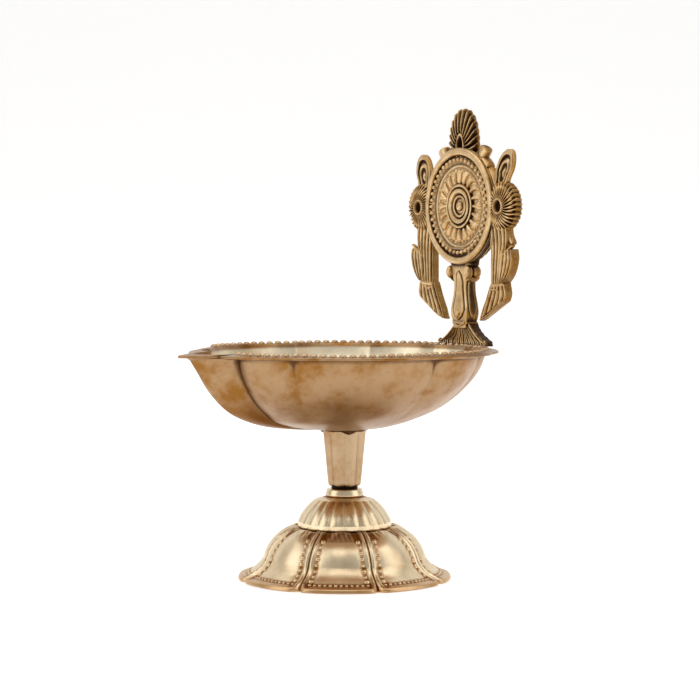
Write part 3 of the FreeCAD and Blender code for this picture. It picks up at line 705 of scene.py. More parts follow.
def make_braze():
    """The fillet of brazing metal round the stem's top, run down and lumpy as it set."""
    low, high = node_box("braze_ring")
    path = traced([(5.9, low[2] + 0.1), (6.6, low[2] + 0.3), (6.85, low[2] + 0.5, 0.1),
                   (7.5, high[2] + 0.15), (5.9, high[2] + 0.1), (5.9, low[2] + 0.1)], 0.12)

    def reach(angles, radius, height):
        angles = angles + 0.5
        run = (0.5 + 0.5 * np.sin(3 * angles + 1.1)) * (0.5 + 0.5 * np.sin(7 * angles + 0.4))
        lumps = 0.10 * np.sin(17 * angles) * np.sin(9 * angles + height)
        drop = 0.9 * run * (1 - ease(height, low[2], high[2]))
        return radius + (0.10 * run + lumps) * ease(radius, 5.8, 6.2), height - drop + 0.35

    make_piece("braze_ring", [turned(path, 180, reach)], BRAZE_METAL, LAMP, ["braze_ring"],
               reach=0.5, depth=0.15)


def front_patch(points, width):
    """1 on the foot's side between spout and side, falling to 0 round it."""
    away = np.arctan2(points[:, 1], points[:, 0]) - STEM_TURN
    away = (away + np.pi) % (2 * np.pi) - np.pi
    return np.exp(-((away / width) ** 4))


def make_dome():
    """The dome: round ribs from its collar down to a scalloped edge."""
    base = node_box("fluted_dome")[0][2]
    path = traced([
        (3.05, 22.9), (7.6, 22.0, -0.5), (12.0, base + 0.6), (12.1, base - 0.4), (13.5, base - 0.65),
        (13.9, base - 0.3), (13.9, base + 1.1, 0.6), (8.7, 23.5), (5.6, 24.3), (5.50, 24.5),
        (5.68, 24.75), (5.6, 25.2), (5.3, 26.35), (5.05, 26.6), (3.05, 26.6), (3.05, 22.9),
    ], 0.22)

    def reach(angles, radius, height):
        inner_face = np.interp(height, [base, 18, 20, 22, 23.4, 24.2], [13, 12, 10.8, 9, 6.6, 5])
        outside = ease(height, base - 0.75, base - 0.6) * ease(radius, 5.3, 7.0) * (radius > inner_face)
        lobe = lobes(angles, DOME_RIBS, STEM_TURN, 0.85)
        depth = np.interp(height, [base, 18, 21, 24], [0.30, 0.40, 0.40, 0.15])
        dip = 0.10 * (lobe - 0.5) * (1 - ease(height, base - 0.5, base + 1.0))
        return radius - depth * (1 - lobe) * outside, height - dip * outside

    make_piece("fluted_dome", [turned(path, 400, reach)], FOOT_BRASS, FOOT, ["fluted_dome"],
               crease=60, reach=1.6, depth=0.35)


# The skirt's outer face from its plate down to the petals' tips, as radius, height and bulge.
SKIRT_FACE = ((13.0, 15.0), (14.4, 15.1), (15.6, 15.3, -1.5), (23.8, 6.2, 0.65), (28.7, 2.2, -0.2),
              (31.35, 0.5))
SKIRT_EDGE = 31.4
# How far the dots stand in from a petal's sides and from its bottom.
BORDER, BORDER_LOW = 2.5, 3.3


def petal_share(angles):
    """How far round its petal an angle is, from -1 at one seam to 1 at the next."""
    turn = 2 * np.pi / PETALS
    return ((angles - PETAL_TURN + turn / 2) % turn) / turn * 2 - 1


def petal_place(angles, radius, height):
    """A place on the skirt: its share round the petal, and its distances from a seam and from the edge."""
    share = petal_share(angles)
    aside = radius * np.pi / PETALS * (1 - np.abs(share))
    return share, aside, np.hypot(SKIRT_EDGE - radius, height * 0.8)


def petal_notch(aside, radius):
    """How far the edge is cut in between two petals."""
    return 1.9 * np.exp(-((aside / 1.25) ** 1.6)) * ease(radius, 26.5, 31)


def skirt_point(angles, radius, height):
    """A point of the skirt's outer face, with its petals pillowed, bordered and notched apart."""
    share, aside, below = petal_place(angles, radius, height)
    near_edge = (np.maximum(aside, 0.05) ** -3.0 + np.maximum(below, 0.05) ** -3.0) ** (-1 / 3.0)
    low = 1 - ease(height, 1.0, 3.0)
    border = 0.32 * hump(near_edge, 0.85, 0.45) - 0.30 * hump(aside, 0.0, 0.26)
    panel = -0.16 * hump(near_edge, BORDER, 1.0) + 0.35 * (1 - share**2) * ease(near_edge, 2.5, 7.0)
    trough = -0.28 * hump(below, BORDER_LOW, 1.3) * ease(aside, 1.0, 3.0)
    crumple = 0.10 * np.sin(angles * 61) * np.sin(angles * 23 + height * 2) * ease(height, 12.5, 15.5)
    lift = border + panel + trough + crumple
    fade = ease(radius, 13.0, 15.5)
    slope_out = np.interp(radius, [14, 18, 22, 26, 29, 31.4], [0.15, 0.55, 0.85, 0.65, 0.45, 0.4])
    slope_up = np.sqrt(1 - slope_out**2)
    new_radius = radius - petal_notch(aside, radius) + lift * slope_out * fade
    new_height = height + lift * slope_up * fade + 0.12 * (1 - share**2) * low * ease(radius, 26, 31)
    return new_radius, new_height


def skirt_patina_and_shadow(points, normals):
    """Patina where the buff can't reach, in the borders' low parts and round the rim, and a painted shadow
    just under the dome's edge.
    """
    radius = off_axis(points)
    _, aside, below = petal_place(np.arctan2(points[:, 1], points[:, 0]), radius, points[:, 2])
    # A painted shadow just under the dome's edge, heavier on the foot's front.
    dome_shadow = ease(points[:, 2], 12.4, 13.4) * (radius > 13.5)
    band = hump(below, BORDER_LOW, 1.25) * ease(aside, 1.2, 2.2)
    lip = 0.14 * ease(radius, 29.5, 31.0)
    dome_shadow *= 0.12 + 0.12 * front_patch(points, 0.55)
    return dome_shadow + 0.24 * band + 0.16 * hump(aside, BORDER, 1.1) + lip


def skirt_tarnish(points, normals):
    """The lip and the rim under it are duller than the buffed petals."""
    return 0.55 * ease(off_axis(points), 28.0, 30.5)


def make_skirt():
    """The skirt: its face carries the petals' relief, and its plate and underside are plain."""
    angles = np.linspace(0, 2 * np.pi, 480, endpoint=False)[None, :]
    plain = traced([(3.05, 15.9), (3.05, 14.3), (13.2, 14.3, -1.5), (22.3, 5.3, 0.5), (27.7, 0.9),
                    (29.6, 0), (31.2, 0.0), (31.45, 0.25)], 0.5)[::-1]
    rows = []
    for path, has_relief in ((traced(SKIRT_FACE, 0.22), True), (plain, False)):
        radius, height = (path[:, k:k + 1] * np.ones(angles.shape) for k in (0, 1))
        if has_relief:
            radius, height = skirt_point(angles, radius, height)
        else:
            share, aside, _ = petal_place(angles, radius, height)
            outside = ease(radius, 26.5, 31)
            radius = radius - petal_notch(aside, radius)
            height = height + 0.12 * (1 - share**2) * outside * (1 - ease(height, 1.0, 3.0))
        rows.append(np.stack([radius * np.cos(angles), radius * np.sin(angles), height], axis=-1))
    rows = np.concatenate([*rows, rows[0][:1]])
    make_piece("petal_skirt", [grid(rows)], FOOT_BRASS, FOOT, ["petal_skirt"],
               crease=50, reach=1.0, depth=0.25, stain_and_shade=skirt_patina_and_shadow, tarnish=skirt_tarnish)


def make_skirt_beads():
    """The dots punched along each petal's sides and along its bottom."""
    face = traced(SKIRT_FACE, 0.1)
    points, ways, sizes = [], [], []

    def place(angle, at):
        out, up = skirt_point(np.array([angle]), np.array([face[at, 0]]), np.array([face[at, 1]]))
        return np.array([out[0] * math.cos(angle), out[0] * math.sin(angle), up[0]])

    def punch(line, pitch, size):
        spots, along = walk(np.array(line), pitch)
        points.append(spots)
        ways.append(along)
        sizes.append(np.full(len(spots), size))

    half = math.pi / PETALS
    upright = [at for at, (radius, height) in enumerate(face)
               if height < 13.2 and SKIRT_EDGE - radius > BORDER_LOW + 1.0]
    bottom = int(np.argmin(np.abs(np.hypot(SKIRT_EDGE - face[:, 0], face[:, 1] * 0.8) - BORDER_LOW)))
    reach = half - (BORDER + 0.2) / face[bottom, 0]
    for petal in range(PETALS):
        middle = PETAL_TURN + 2 * half * petal
        for side in (-1, 1):
            punch([place(middle + side * (half - BORDER / face[at, 0]), at) for at in upright], 1.8, 1.38)
        across = np.linspace(middle - reach, middle + reach, 40)
        punch([place(angle, bottom) for angle in across], 1.6, 0.86)
    points, ways, sizes = np.vstack(points), np.vstack(ways), np.concatenate(sizes)
    radius = np.linalg.norm(points[:, :2], axis=1)
    radial = points * [1, 1, 0] / radius[:, None]
    slope = np.interp(radius, [14, 18, 22, 26, 29], [0.3, 0.6, 0.85, 0.65, 0.45])
    facing = radial * slope[:, None] + np.array([0, 0, 1]) * np.sqrt(1 - slope**2)[:, None]
    set_shapes("skirt_beads", bead(1.15, 0.36, 10, 5), points, facing, ways, sizes, FOOT_BRASS, FOOT,
               ["petal_skirt"], "foot_brass", unevenness=0.2, seed=9, reach=0.3, depth=0.12,
               tarnish=all_over(0.35))


# ---- fasteners -------------------------------------------------------------------------------------------


def make_stud():
    """The M6 stud with its thread cut at 1 mm a turn."""
    low, high = node_box("center_stud")
    path = traced([(0, low[2]), (2.3, low[2]), (STUD_RADIUS, low[2] + 0.7), (STUD_RADIUS, high[2] - 0.7),
                   (2.3, high[2]), (0, high[2])], 0.16)

    def reach(angles, radius, height):
        turn = (height / THREAD_PITCH - angles / (2 * np.pi)) % 1
        cut = 0.34 * np.abs(2 * turn - 1) * ease(radius, 2.2, 2.5)
        return radius - cut, height

    make_piece("threaded_stud", [turned(path, 48, reach)], FASTENER_STEEL, FOOT, ["center_stud"],
               reach=0.3, depth=0.15)


def make_washer(name, body):
    """A plain washer with its edges rounded a little, dark with old oil."""
    low, high = node_box(name)
    outer = (high[0] - low[0]) / 2
    path = traced([(3.12, low[2] + 0.1), (3.2, low[2]), (outer - 0.15, low[2]), (outer, low[2] + 0.2),
                   (outer, high[2] - 0.15), (outer - 0.2, high[2]), (3.2, high[2]), (3.12, high[2] - 0.1),
                   (3.12, low[2] + 0.1)], 0.4)
    make_piece(name, [turned(path, 96)], FASTENER_STEEL, body, [name],
               crease=40, reach=0.4, depth=0.15, stain_and_shade=all_over(0.45))


def make_nut():
    """The hexagon nut, its corners chamfered."""
    low, high = node_box("foot_nut")
    flats = 10.0
    path = traced([(3.05, low[2] + 0.5), (3.6, low[2]), (5.0, low[2]), (5.8, low[2] + 0.45),
                   (5.8, high[2] - 0.45), (5.0, high[2]), (3.6, high[2]), (3.05, high[2] - 0.5),
                   (3.05, low[2] + 0.5)], 0.25)

    def reach(angles, radius, height):
        facet = (angles + math.pi / 6) % (math.pi / 3) - math.pi / 6
        return np.minimum(radius, flats / 2 / np.cos(facet)), height

    make_piece("hex_nut", [turned(path, 96, reach)], FASTENER_STEEL, FOOT, ["foot_nut"],
               crease=25, reach=0.4, depth=0.15)


def make_rivets():
    """The two rivets under the flange, their heads hammered round."""
    low, high = node_box("flange_rivets")
    centre = (low + high) / 2
    path = traced([(0, low[2]), (0.8, low[2] + 0.08, 0.08), (1.45, low[2] + 0.55), (1.5, low[2] + 0.78),
                   (1.0, low[2] + 0.8), (1.0, high[2]), (0, high[2])], 0.1)
    points, quads = turned(path, 36)
    spacing = 5.5
    patches = [(points + [side * spacing, centre[1], 0], quads) for side in (-1, 1)]
    make_piece("flange_rivets", patches, PLAQUE_BRASS, LAMP, ["flange_rivets"],
               reach=0.3, depth=0.1)


# ---- plaque ----------------------------------------------------------------------------------------------

# The plaque stands on the rim and faces the spout. PLANE is how far behind the stem its middle stands.
PLANE = 43.2
DISC_HEIGHT = 110.0
DISC_RADIUS = 17.7
DISC_FRONT = 40.2
CHANNEL_RADIUS = DISC_RADIUS * 0.795
DISC_PETALS = 20
ROSETTE_CENTRE = (21.0, DISC_HEIGHT - 0.2)


def standing(patch):
    """A shape turned about Z, stood up to face the spout on the disc's centre: its height goes to -Y."""
    points, quads = patch
    return np.column_stack([points[:, 0], -points[:, 2], points[:, 1] + DISC_HEIGHT]), quads


def side_and_back_shade(points, normals):
    """Painted shade on what doesn't face forward: heavy on edges and sides, light on the back."""
    sides = 1 - ease(np.abs(normals[:, 1]), 0.1, 0.7)
    return 0.27 * sides + 0.08 * ease(normals[:, 1], 0.3, 0.9)


def less_on_back_faces(normals):
    """The share of a painted shade that stays: most of it is left off the faces at the back."""
    return 1 - 0.85 * ease(normals[:, 1], 0.3, 0.9)


def shaded(points, normals):
    """Painted shade on the lower sides of the disc and of the drum behind it, on top of the painted side and
    back shade.
    """
    side = 1 - ease(np.abs(normals[:, 1]), 0.4, 0.8)
    return side_and_back_shade(points, normals) + 0.3 * side * ease(-points[:, 2], -117, -106)


def edge_tarnish(points, normals):
    """Edges and sides are rubbed less than faces, so they keep their amber tone."""
    return 0.8 * (1 - ease(-normals[:, 1], 0.4, 0.95))


# By default a piece of the casting gets painted shade on its sides and back.
def cast(name, patches, crease=60, reach=0.7, depth=0.24, stain_and_shade=side_and_back_shade, nodes=("plaque_frame",)):
    """A piece of the plaque's casting."""
    make_piece(name, patches, PLAQUE_BRASS, LAMP, nodes, crease, reach, depth,
               stain_and_shade, edge_tarnish)


def disc_dish(radius):
    """How far the disc's face is sunk towards its centre, below the bead channel."""
    return 0.6 * (1 - ease(radius, 0, DISC_RADIUS * 0.68)) - 0.45 * hump(radius, CHANNEL_RADIUS, 1.1)


def make_disc():
    """The discus: rolled rim, bead channel, thin ring, a sunk field and a stepped boss."""
    back, front = -42.4, -DISC_FRONT
    r = DISC_RADIUS
    path = traced([
        (1.05, back), (r - 0.5, back), (r - 0.1, back + 0.3), (r, back + 0.8), (r - 0.35, back + 1.0),
        (r - 0.05, back + 1.2), (r, front - 0.55, 0.06), (r - 0.5, front - 0.08, 0.1),
        (r - 1.3, front, 0.06), (r - 2.0, front - 0.15), (r - 2.3, front - 0.6), (r - 2.4, front - 1.1),
        (r * 0.715, front - 1.1), (r * 0.70, front - 1.0, 0.04), (r * 0.68, front - 1.0),
        (r * 0.665, front - 1.12), (r * 0.39, front - 1.15), (r * 0.375, front - 0.3, 0.06),
        (r * 0.345, front - 0.15, 0.03), (r * 0.325, front - 0.55), (r * 0.31, front - 0.5),
        (r * 0.295, front, 0.06), (r * 0.235, front - 0.05), (r * 0.20, front - 0.75),
        (r * 0.185, front - 0.25, 0.04), (r * 0.155, front - 0.25), (r * 0.135, front - 0.8),
        (r * 0.11, front - 0.75), (1.05, front - 0.6), (1.05, back),
    ], 0.14)

    def reach(angles, radius, height):
        field = ease(radius, r * 0.41, r * 0.44) * (1 - ease(radius, r * 0.63, r * 0.655))
        grain = 0.10 * np.sin(radius * 5 + 3 * np.sin(20 * angles)) * np.sin(40 * angles + radius * 2)
        facing = height > front - 1.4
        return radius, height + (grain * field - disc_dish(radius)) * facing

    def channelled(points, normals):
        off = np.hypot(points[:, 0], points[:, 2] - DISC_HEIGHT)
        return shaded(points, normals) + 0.12 * hump(off, CHANNEL_RADIUS, 1.3) * (points[:, 1] < 41.6)

    cast("chakra_disc", [standing(turned(path, 320, reach))], crease=55, reach=0.9, depth=0.3,
         stain_and_shade=channelled, nodes=["chakra_disc"])


def disc_ring(name, shape, radius, count, sunk, turn=0.0, size=1.0, **look):
    """A shape repeated in a ring on the disc, pointing outwards, its foot sunk behind the disc's front."""
    angles = turn + np.arange(count) * 2 * np.pi / count
    out = np.column_stack([np.cos(angles), np.zeros(count), np.sin(angles)])
    points = out * radius + [0, DISC_FRONT + sunk, DISC_HEIGHT]
    set_shapes(name, shape, points, (0, -1, 0), out, size, PLAQUE_BRASS, LAMP, ["chakra_disc"],
               "plaque_brass", **look)


def petal_shape():
    """One domed petal of the disc's ring, broad and three-pointed outside and narrow inside."""
    outline = smooth_path([(-2.5, 0), (-2.35, 0.42), (-1.2, 0.66), (0.4, 1.15), (1.45, 1.55),
                           (2.05, 1.2), (2.2, 0.5), (2.5, 0.0)], 17)
    outline = np.vstack([outline, outline[-2:0:-1] * [1, -1]])
    rows = []
    for share, height in ((0, 1.0), (0.35, 0.97), (0.62, 0.85), (0.83, 0.55), (0.95, 0.15), (1.0, -0.5)):
        crest = 0.12 * np.exp(-((outline[:, 1] * share / 0.22) ** 2))
        rows.append(np.column_stack([outline * share, np.full(len(outline), height) + crest]))
    rows.append(np.column_stack([outline * 0, np.full(len(outline), -0.5)]))
    return grid(np.array(rows))


def make_disc_ornament():
    """The disc's rings of beads, petals and seeds, from the rim inwards."""
    disc_ring("disc_beads", bead(1.32, 1.0, 14, 7), CHANNEL_RADIUS, 44, 0.72,
              unevenness=0.1, seed=3, reach=0.5, depth=0.2)
    disc_ring("disc_petals", petal_shape(), DISC_RADIUS * 0.508, DISC_PETALS, 1.3, size=0.96,
              unevenness=0.05, seed=5, reach=0.6, depth=0.25)
    disc_ring("disc_seeds", bead(1.15, 0.6, 10, 4), DISC_RADIUS * 0.615, DISC_PETALS, 1.15,
              turn=math.pi / DISC_PETALS, unevenness=0.2, seed=8, reach=0.3, depth=0.12)


def make_disc_pin():
    """The pin through the disc's centre, its head hammered round."""
    front = -DISC_FRONT
    path = traced([(0, -45.2), (1.0, -45.2), (1.0, front - 1.2), (1.5, front - 1.15, 0.2),
                   (0.75, front - 0.32, 0.05), (0, front - 0.22)], 0.1)
    cast("disc_pin", [standing(turned(path, 40))], crease=50, reach=0.4, depth=0.15,
         nodes=["disc_rivet"])


def make_backing():
    """The drum behind the disc, with a groove round its side and a rougher back; its sides and lower part are
    darkened with painted shade.
    """
    path = traced([(0, -45.1), (16.2, -45.1), (17.0, -44.8), (17.1, -44.2), (16.7, -43.9), (16.7, -43.3),
                   (17.1, -43.0), (17.1, -42.45), (1.1, -42.45), (1.1, -42.9), (0, -42.9)], 0.25)

    def reach(angles, radius, height):
        rough = 0.08 * np.sin(angles * 37 + height * 3) * np.sin(angles * 13)
        return radius + rough * ease(radius, 15, 17), height

    cast("disc_backing", [standing(turned(path, 240, reach))], crease=50, reach=0.8, depth=0.2,
         stain_and_shade=shaded)


def domed_back(depth, power):
    """The back of a relief: flat, and rounded off at its edge."""
    return lambda angles, share: depth * np.clip(1 - share**power, 0, 1) ** 0.5 + 0 * angles


def rosette(side):
    """A domed rosette: ribs that turn out of a raised ring, with a hollow in it."""
    ribs = 30

    def outline(angles):
        return 7.3 + 0.25 * np.cos(ribs * (angles - 0.5 * side))

    def front(angles, share):
        dome = 2.45 * np.sqrt(np.clip(1 - (share * 0.97) ** 2.6, 0, 1))
        swirl = angles - 0.5 * side * share
        rib = (np.abs(np.cos(ribs * swirl / 2)) ** 0.9 - 0.6) * 1.0 * ease(share, 0.33, 0.44)
        rib = rib * (1 - 0.75 * ease(share, 0.93, 1.0))
        ring = 0.6 * hump(share, 0.29, 0.045)
        hollow = -1.3 * (1 - ease(share, 0.12, 0.26))
        return dome + rib + ring + hollow

    centre = (side * ROSETTE_CENTRE[0], ROSETTE_CENTRE[1])
    return relief(centre, 42.7, outline, front, domed_back(2.2, 8), 416, 44)


FINIAL_MIDDLE = 128.3


def finial_reach(angles):
    """The finial's edge by angle about its teardrop's centre."""
    half = smooth_path([(0, 139.4), (2.5, 138.9), (4.6, 137.2), (6.1, 134.4), (6.9, 130.8), (7.05, 127.4),
                        (6.9, 124.6), (5.6, 122.9), (0, 122.4)], 90)
    around = np.vstack([half, half[-2:0:-1] * [-1, 1]]) - [0, FINIAL_MIDDLE]
    turn = np.arctan2(around[:, 1], around[:, 0])
    order = np.argsort(turn)
    angles = (angles + np.pi) % (2 * np.pi) - np.pi
    return np.interp(angles, turn[order], np.hypot(*around.T)[order], period=2 * np.pi)


def finial():
    """A flame of curved ribs that fan out of a teardrop loop with a hollow in it."""
    ribs = 17

    def outline(angles):
        upper = np.cos(angles - np.pi / 2)
        bend = angles - 0.75 * np.cos(angles)
        return finial_reach(angles) * (1 + 0.022 * np.cos(ribs * bend) * ease(upper, -0.8, -0.3))

    def front(angles, share):
        dome = 1.55 * np.sqrt(np.clip(1 - (share * 0.98) ** 3, 0, 1))
        bend = angles - 0.75 * share * np.cos(angles)
        rib = (np.abs(np.cos(ribs * bend / 2)) ** 1.5 - 0.5) * 1.5 * ease(share, 0.26, 0.4)
        rib = rib * (1 - 0.7 * ease(share, 0.95, 1.0))
        reach = finial_reach(angles)
        x, z = share * reach * np.cos(angles), share * reach * np.sin(angles)
        drop = np.hypot(x / (1.75 - 0.12 * z), (z - 0.4) / np.where(z > 0.4, 2.8, 2.3))
        ring = 0.75 * hump(drop, 1.05, 0.22)
        hollow = -1.7 * (1 - ease(drop, 0.5, 0.9))
        rib = rib * ease(drop, 1.2, 1.6)
        return dome + rib + ring + hollow

    return relief((0, FINIAL_MIDDLE), PLANE, outline, front, domed_back(1.5, 6), 440, 56)


def loop(side):
    """A loop of ribbon above a rosette: a leaf with a broad band, a thin one and a tongue on its face."""
    middle, lean_out, lean_back = 119.6, 0.24, 0.11
    half_height, power = 6.9, 2.3

    def outline(angles):
        upper = ease(np.sin(angles), -0.6, 0.4)
        across = np.abs(np.cos(angles)) / (3.2 + 0.8 * upper)
        up = np.abs(np.sin(angles)) / half_height
        return (across**power + up**power) ** (-1 / power)

    def front(angles, share):
        bands = 0.75 * ease(share, 0.70, 0.80) + 0.7 * hump(share, 0.48, 0.10) + 0.7 * hump(share, 0.0, 0.16)
        return 0.45 + bands * (1 - 0.5 * ease(share, 0.95, 1.0)) + 0 * angles

    centre = (side * 20.9, middle + 0.2 * side)
    points, quads = relief(centre, 43.1, outline, front, domed_back(0.8, 6), 160, 50)
    points[:, 0] += side * lean_out * (points[:, 2] - middle)
    points[:, 1] += lean_back * (points[:, 2] - middle)
    return points, quads


def make_wings():
    """On both sides of the disc, rosettes and loops, and the lugs and bridges that join them to it."""

    def hollows(points, normals):
        off = np.hypot(np.abs(points[:, 0]) - ROSETTE_CENTRE[0], points[:, 2] - ROSETTE_CENTRE[1])
        front = points[:, 1] < PLANE
        return side_and_back_shade(points, normals) + front * 0.25 * (1 - ease(off, 1.1, 1.8))

    cast("rosettes", [rosette(1), rosette(-1)], stain_and_shade=hollows)
    cast("ribbon_loops", [loop(1), loop(-1)])
    lug = flat_bar([(8.0, 122.6), (9.2, 124.4), (10.6, 126.4), (11.3, 127.8)], 43.2,
                   np.interp(np.linspace(0, 1, 30), [0, 0.5, 0.8, 1], [2.2, 1.9, 2.4, 2.2]), 1.7, 30, 20)
    bridge = flat_bar([(9.0, 124.6), (11.6, 122.4), (14.6, 119.4), (16.6, 115.8), (17.6, 113.2)], 43.4,
                      1.15, 1.5, 40, 16)
    step = flat_bar([(10.6, 124.4), (12.4, 123.0), (13.8, 121.4)], 43.0, 0.75, 1.75, 24, 14)
    cast("lugs_and_bridges", both(lug) + both(bridge) + both(step), reach=0.8, depth=0.3)


def make_finial():
    """The ribbed flame at the plaque's top."""

    def loop_hollow(points, normals):
        off = np.hypot(points[:, 0] / 1.1, (points[:, 2] - 128.8) / 2.1)
        front = points[:, 1] < PLANE
        return side_and_back_shade(points, normals) + front * (0.45 * (1 - ease(off, 0.6, 1.0)) + 0.18)

    cast("flame_finial", [finial()], crease=65, stain_and_shade=loop_hollow)


# The column's and the foot's outlines, as height and half width.
COLUMN_CURVE = smooth_path([
    (73.2, 3.3), (74.6, 3.5), (76.4, 4.35), (78.4, 4.5), (80.6, 4.2), (83.0, 3.6), (85.4, 3.3), (87.4, 3.4),
    (88.6, 3.8), (90.2, 4.3), (91.8, 4.2), (93.2, 5.0), (95.5, 5.6), (97.5, 5.8)], 170)
FOOT_CURVE = smooth_path([
    (67.85, 12.15), (68.6, 12.1), (69.3, 11.6), (70.2, 9.6), (71.4, 7.3), (72.7, 5.4), (73.8, 4.2),
    (74.8, 3.5)], 70)
# Past this share of the way out, a point of the squared section is on a side and not on a corner's round.
ON_A_SIDE = 0.93


def squared(half_width, half_depth, count):
    """A section with rounded corners, in x and y from -1 to 1. Its points are even on one of a real size."""
    turn = np.linspace(0, 2 * np.pi, 4000)
    cos, sin = np.cos(turn), np.sin(turn)
    x = half_width * np.sign(cos) * np.abs(cos) ** 0.28
    y = half_depth * np.sign(sin) * np.abs(sin) ** 0.28
    run = np.concatenate([[0], np.cumsum(np.hypot(np.diff(x), np.diff(y)))])
    at = np.arange(count) / count * run[-1]
    return np.interp(at, run, x) / half_width, np.interp(at, run, y) / half_depth


def column_shaft(half_depth, count):
    """The baluster itself, with a vase-shaped panel incised on its front, back and sides."""
    rows = []
    unit_x, unit_y = squared(4.0, half_depth, count)
    cos, sin = (unit * (np.abs(unit) > ON_A_SIDE) for unit in (unit_x, unit_y))
    facing = ease(np.abs(unit_y) - np.abs(unit_x), -0.05, 0.05)
    out = np.column_stack([cos * (1 - facing), sin * facing])
    out /= np.maximum(np.linalg.norm(out, axis=1), 1e-6)[:, None]
    for height, half in COLUMN_CURVE:
        belly = np.interp(height, [74, 78, 83, 87, 90, 97], [0.95, 1.05, 0.88, 0.85, 1.0, 1.0])
        x, y = half * unit_x, half_depth * unit_y * belly
        across = np.where(facing > 0.5, x / half, y / half_depth)
        panel = np.interp(height, [75.4, 76.6, 78.6, 81, 84, 87, 89.2, 90.6],
                          [0, 0.40, 0.66, 0.62, 0.56, 0.5, 0.3, 0])
        groove = -0.42 * np.exp(-(((np.abs(across) - panel) * half / 0.32) ** 2)) * (panel > 0.02)
        swell = 0.30 * np.clip(1 - (across / max(panel, 0.05)) ** 2, 0, 1) * (panel > 0.05)
        fold = 0.45 * math.exp(-(((height - 74.6) / 0.35) ** 2))
        folded = np.column_stack([np.sign(cos) * fold * np.abs(cos), sin * fold])
        shift = out * (groove + swell)[:, None] + folded
        rows.append(np.column_stack([x + shift[:, 0], y + shift[:, 1] + PLANE, np.full(count, height)]))
    return capped(rows, PLANE)


def lozenge(front):
    """The small raised lozenge low on the column's panel."""
    turn = np.linspace(0, 2 * np.pi, 24, endpoint=False)
    spread = (np.abs(np.cos(turn)) + np.abs(np.sin(turn))) ** 0.8
    rows = []
    for share, out in ((0, 0.62), (0.5, 0.5), (0.85, 0.25), (1.0, -0.3)):
        reach = share / spread
        rows.append(np.column_stack([1.35 * reach * np.cos(turn), np.full(24, front - 0.45 - out),
                                     77.4 + 1.6 * reach * np.sin(turn)]))
    rows.append(rows[-1] * 0 + [0, front, 77.5])
    return grid(np.array(rows))


def make_column():
    """The column: a baluster of square section, with knobs under its cap and a folded collar at its foot."""
    half_depth = 2.4
    patches = [column_shaft(half_depth, 200), lozenge(PLANE - half_depth)]
    angles = np.linspace(0, np.pi, 14)
    knob, quads = turned(np.stack([1.35 * np.sin(angles), -1.95 * np.cos(angles)], axis=-1), 24)
    for side in (-1, 1):
        for depth in (41.15, 44.2):
            patches.append((knob + [side * 4.75, depth, 90.1], quads))
        bracket = [(side * 3.3, 87.3), (side * 4.4, 87.9), (side * 5.0, 88.6)]
        patches.append(flat_bar(bracket, PLANE, 0.5, 2.2, 16, 14))
    collar = [(-3.3, 75.4), (-2.0, 74.4), (0, 73.7), (2.0, 74.4), (3.3, 75.4)]
    patches.append(flat_bar(collar, PLANE - 1.9, 0.42, 0.75, 40, 14))
    patches.append(flat_bar([(-5.6, 92.6), (0, 92.2), (5.6, 92.6)], PLANE, 0.8, 2.3, 40, 16))

    # Painted shadow under the disc, on the column's cap, on top of the painted side and back shade.
    def disc_shadow(points, normals):
        return side_and_back_shade(points, normals) + 0.25 * ease(points[:, 2], 91.0, 92.5) * less_on_back_faces(normals)

    cast("baluster_column", patches, crease=50, reach=0.8, depth=0.28, stain_and_shade=disc_shadow)


def make_plaque_foot():
    """The flared foot: fine lines fanning down its face, a cord along each edge, and stepped sides."""
    rows = []
    count, half_depth, plane = 460, 1.5, 43.95
    unit_x, unit_y = squared(7.0, half_depth, count)
    cos = unit_x * (np.abs(unit_x) > ON_A_SIDE)
    front = ease(-unit_y, 0.7, 0.95)
    for height, half in FOOT_CURVE:
        x = half * unit_x
        fan = x / half
        lines = 0.14 * np.sin(fan * 66 + 0.8 * math.sin(height * 2.1)) + 0.08 * np.sin(fan * 39 + 1.0)
        steps = 0.12 * math.sin(height * 5.2) * (1 - front)
        taper = np.interp(height, [68, 71, 75], [1.0, 0.95, 1.2])
        y = half_depth * unit_y * taper - (lines * front * ease(75.2 - height, 0, 0.8))
        rows.append(np.column_stack([x + steps * np.sign(cos) * np.abs(cos), y * 1.15 + plane,
                                     np.full(count, height)]))
    cord = flat_bar([(3.0, 75.0), (4.3, 73.5), (6.0, 72.0), (8.0, 70.5), (10.4, 69.15), (11.8, 68.75)],
                    42.15, 0.30, 0.34, 60, 12)
    curl = flat_bar([(11.3, 69.5), (12.1, 69.2), (12.3, 68.6), (11.8, 68.25), (11.1, 68.5)],
                    42.3, 0.36, 0.45, 30, 12)

    # Darker all over and more so further back from the front face, less on faces at the back, with the
    # painted side and back shade added.
    def foot_darkening_and_shade(points, normals):
        darker_further_back = 0.12 + 0.08 * ease(points[:, 1], 42.4, 43.0)
        return side_and_back_shade(points, normals) + darker_further_back * less_on_back_faces(normals)

    cast("plaque_foot", [capped(rows, plane)] + both(cord) + both(curl), crease=50, reach=0.6, depth=0.2,
         stain_and_shade=foot_darkening_and_shade)


